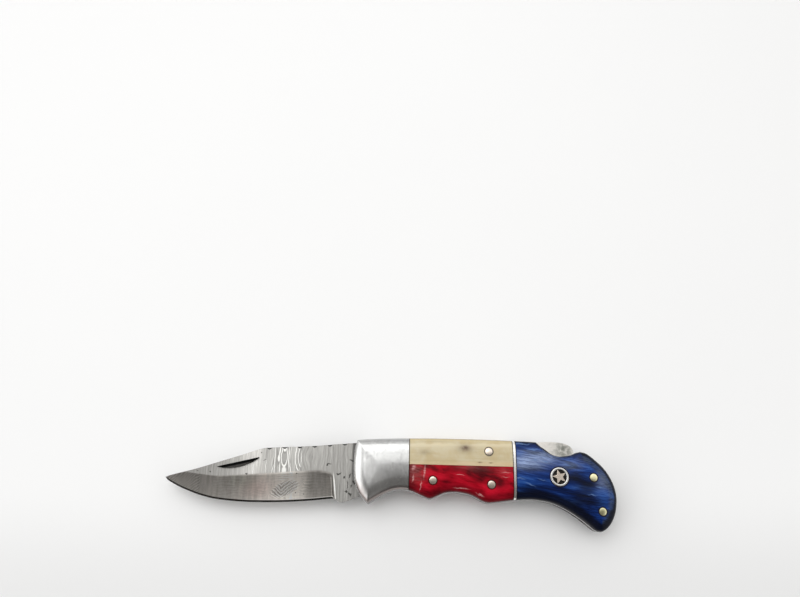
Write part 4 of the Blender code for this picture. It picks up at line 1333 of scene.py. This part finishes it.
def nickCutter():
    # Deepest along the straight upper edge, running out to the curved lower edge
    start, end = onBlade(nickShares)
    run = end - start
    down = np.array((run[1], -run[0])) / np.hypot(*run)
    shares = np.linspace(0.0, 1.0, 49)[:, None]
    swell = 4 * shares * (1 - shares)
    upper = start + run * shares
    lower = upper + down * blade["nickBelly"] * swell
    lifted = bladeHalf + 0.02 * mm
    floor = lifted - blade["nickDepth"] * np.sqrt(swell[:, 0])
    top = bladeHalf + 1.0 * mm
    count = len(shares)
    vertices = np.vstack([np.column_stack([points, np.broadcast_to(z, count)])
                          for points, z in ((upper, floor), (lower, lifted), (lower, top), (upper, top))])
    faces = []
    for i in range(count - 1):
        for low, high in ((0, 1), (1, 2), (2, 3), (3, 0)):
            faces.append((low * count + i, low * count + i + 1, high * count + i + 1, high * count + i))
    cutter = addMesh("nickCutter", vertices, faces)
    reworkMesh(cutter.data, weld, "etchedDark", faceOutwards)
    return cutter


def fileMarks():
    # Where the round file lay across the spine's corners, on both sides in turn
    places, ways = [], []
    for side in (1, -1):
        outward = np.array((0.0, 1.0, side)) / math.sqrt(2)
        for turn in range(blade["fileCount"]):
            x = tipX + fileShare * blade["length"] + (turn + (side < 0) / 2) * blade["filePitch"]
            corner = np.array((x, heightAt(bladeSpine, x), side * bladeHalf))
            places.append(corner + outward * (blade["fileRadius"] - blade["fileDepth"]))
            ways.append((0.0, 1.0, -side))
    marks = addMesh("fileMarks", places, [])
    giveAttribute(marks, "fileWay", "FLOAT_VECTOR", ways)
    return marks


def fileWorkTree():
    tree, given = newTree("fileWork", ("File Radius", "Pivot Radius"),
                          {"Marks": "Object", "Nick": "Object", "Pivot": "Vector", "File Finish": "Material"})
    finish = {"Material": given["File Finish"]}
    long = given["File Radius"] * 4.0
    bar, bore = (put(tree, "GeometryNodeMeshCylinder", {"Vertices": count, "Radius": given[radius],
                                                        "Depth": long})["Mesh"]
                 for count, radius in ((56, "File Radius"), (64, "Pivot Radius")))
    aimed = step("FunctionNodeAlignRotationToVector", {"Vector": named(tree, "fileWay", "FLOAT_VECTOR")},
                 axis="Z")[0]
    files = geo("InstanceOnPoints", geo("ObjectInfo", given["Marks"])["Geometry"],
                {"Instance": geo("SetMaterial", bar, finish)[0], "Rotation": aimed})[0]
    bored = geo("Transform", bore, {"Translation": given["Pivot"]})[0]
    cut = geo("MeshBoolean", given["Geometry"], operation="DIFFERENCE", solver="EXACT")
    for geometry in (geo("RealizeInstances", files)[0], geo("ObjectInfo", given["Nick"])["Geometry"],
                     geo("SetMaterial", bored, finish)[0]):
        wire(cut.node, {"Mesh 2": geometry})
    step("NodeGroupOutput", {"Geometry": cut["Mesh"]})
    return tree


def finishBlade():
    piece, cutter, marks = makeBlade(), nickCutter(), fileMarks()
    runTree(piece, fileWorkTree(), {
        "Marks": marks, "Nick": cutter, "File Radius": blade["fileRadius"],
        "Pivot Radius": halfWidth("pivot_pin") + drillGap, "Pivot": tuple(home),
        "File Finish": finishes["etchedDark"]})
    crease(piece, 30.0)
    for helper in (cutter, marks):
        bpy.data.objects.remove(helper)
    mount(piece, "blade_body", "blade_steel", "blade")


finishBlade()
print("blade made")


# Flat pieces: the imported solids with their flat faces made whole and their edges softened

plates = {
    "left_liner": ("liner_left", "handle_body", "linerSteel", "liner_steel", 0.10 * mm),
    "right_liner": ("liner_right", "handle_body", "linerSteel", "liner_steel", 0.10 * mm),
    "rocking_lock_bar": ("lock_bar", "lock_body", "lockSteel", "lock_steel", 0.18 * mm),
    "butt_spring": ("back_spring", None, "lockSteel", "lock_steel", 0.12 * mm),
}


springArmShares = (0.845, 0.672)  # of the handle's length, where the spring starts to bend and where it carries


def flattenFaces(shape):
    bmesh.ops.dissolve_limit(shape, angle_limit=math.radians(1.0), verts=shape.verts, edges=shape.edges)


def makePlate(name, node, body, finish, slot, edge):
    mesh = frame["nodes"][node].data.copy()
    mesh.name = name
    reworkMesh(mesh, 1e-6, finish, flattenFaces)
    piece = addObject(name, mesh)
    softenEdges(piece, edge)
    crease(piece, 40.0)
    mount(piece, body, slot, node)
    return piece


flats = {name: makePlate(name, *details) for name, details in plates.items()}
# The spring's arm carries the tail of the lock bar; its placement is baked into its mesh, and the arm's ends
# are passed along but not used
armRoot, armTip = onHandle([(share, 0.0) for share in springArmShares])
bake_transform(flats["butt_spring"], "handle_body", "lock_body", start=(home[0] + armRoot[0], home[1], home[2]),
         end=(home[0] + armTip[0], home[1], home[2]))
for node, finish in {"pivot_pin": "nickelSilver", "star_resin_left": "darkResin",
                     "star_resin_right": "darkResin"}.items():
    for place in frame["nodes"][node].material_slots:
        place.material = finishes[finish]
print("flat pieces made")
for helper in (outlineGuide, drillPlaces):
    bpy.data.objects.remove(helper)


# Floor, light and camera

stage = {
    "floorColour": (0.94, 0.94, 0.935),
    "floorShade": (0.99, 0.885),  # of that colour, from below the knife to the near side
    "floorShadeStart": 2.0 * mm,
    "floorShadeEnd": -46.0 * mm,
    "floorSize": 8.0,
    "keyPlace": (-0.14, 0.33, 0.67),
    "keySize": 0.5,
    "keyPower": 1.1,
    "roomLevel": 1.17,
    "roomBright": (1.0, 1.0, 1.0),
    "roomDim": (0.15, 0.145, 0.14),
    "dimAcross": (0.90, 0.30),  # where the dim band ends sideways, and where it is full
    "dimAlong": (0.34, -0.12),
    "wallShare": 0.65,  # of the room's light, near the floor
    "window": 0.9,  # more of it from the left
    "cameraFoot": (9.25 * mm, -18.09 * mm),
    "cameraHeight": 267.5 * mm,
    "cameraTilt": 20.0,
    "cameraLens": 27.0,
}


def makeFloor():
    half = stage["floorSize"] / 2
    mesh = bpy.data.meshes.new("floor")
    corners = [(-half, -half, 0), (half, -half, 0), (half, half, 0), (-half, half, 0)]
    mesh.from_pydata(corners, [], [(0, 1, 2, 3)])
    floor = addObject("floor", mesh)
    floor.location.z = -0.02 * mm
    made, shader = newMaterial("paleFloor")
    place = put(made.node_tree, "ShaderNodeTexCoord")["Object"]
    uneven = between(noise(place, 3.0, 2.0), 0.2, 0.8, 0.985, 1.0)
    nearer = between(parts(place)[1], stage["floorShadeStart"], stage["floorShadeEnd"], *stage["floorShade"])
    wire(shader, {"Base Color": times(stage["floorColour"], uneven * nearer), "Roughness": 0.7})
    mesh.materials.append(made)


def makeRoom():
    # A pale room that is dimmer on the near side, as where someone stands
    world = bpy.data.worlds.new("room")
    world.use_nodes = True
    bpy.context.scene.world = world
    way = parts(put(world.node_tree, "ShaderNodeTexCoord")["Generated"])
    dim = between(calc("ABSOLUTE", way[0]), *stage["dimAcross"]) * between(way[1], *stage["dimAlong"])
    walls = between(way[2], 0.05, 0.60, stage["wallShare"], 1.0)
    window = between(way[0], -0.45, -0.80, 0.0, stage["window"])
    colour = times(mixed(dim, stage["roomBright"], stage["roomDim"]), walls + window)
    wire(world.node_tree.nodes["Background"], {"Color": colour, "Strength": stage["roomLevel"]})


def makeKey():
    light = bpy.data.lights.new("softKey", "AREA")
    light.size = stage["keySize"]
    light.energy = stage["keyPower"]
    lamp = addObject("softKey", light)
    lamp.location = stage["keyPlace"]
    toward = -lamp.location
    lamp.rotation_euler = toward.to_track_quat("-Z", "Y").to_euler()


def makeCamera():
    lens = bpy.data.cameras.new("camera")
    lens.lens = stage["cameraLens"]
    lens.clip_start = 0.01
    camera = addObject("camera", lens)
    camera.location = (*(home[:2] + stage["cameraFoot"]), home[2] + stage["cameraHeight"])
    camera.rotation_euler = (math.radians(stage["cameraTilt"]), 0.0, 0.0)
    bpy.context.scene.camera = camera


makeFloor()
makeRoom()
makeKey()
makeCamera()
bpy.context.scene.view_settings.view_transform = "Standard"

print("stage set")
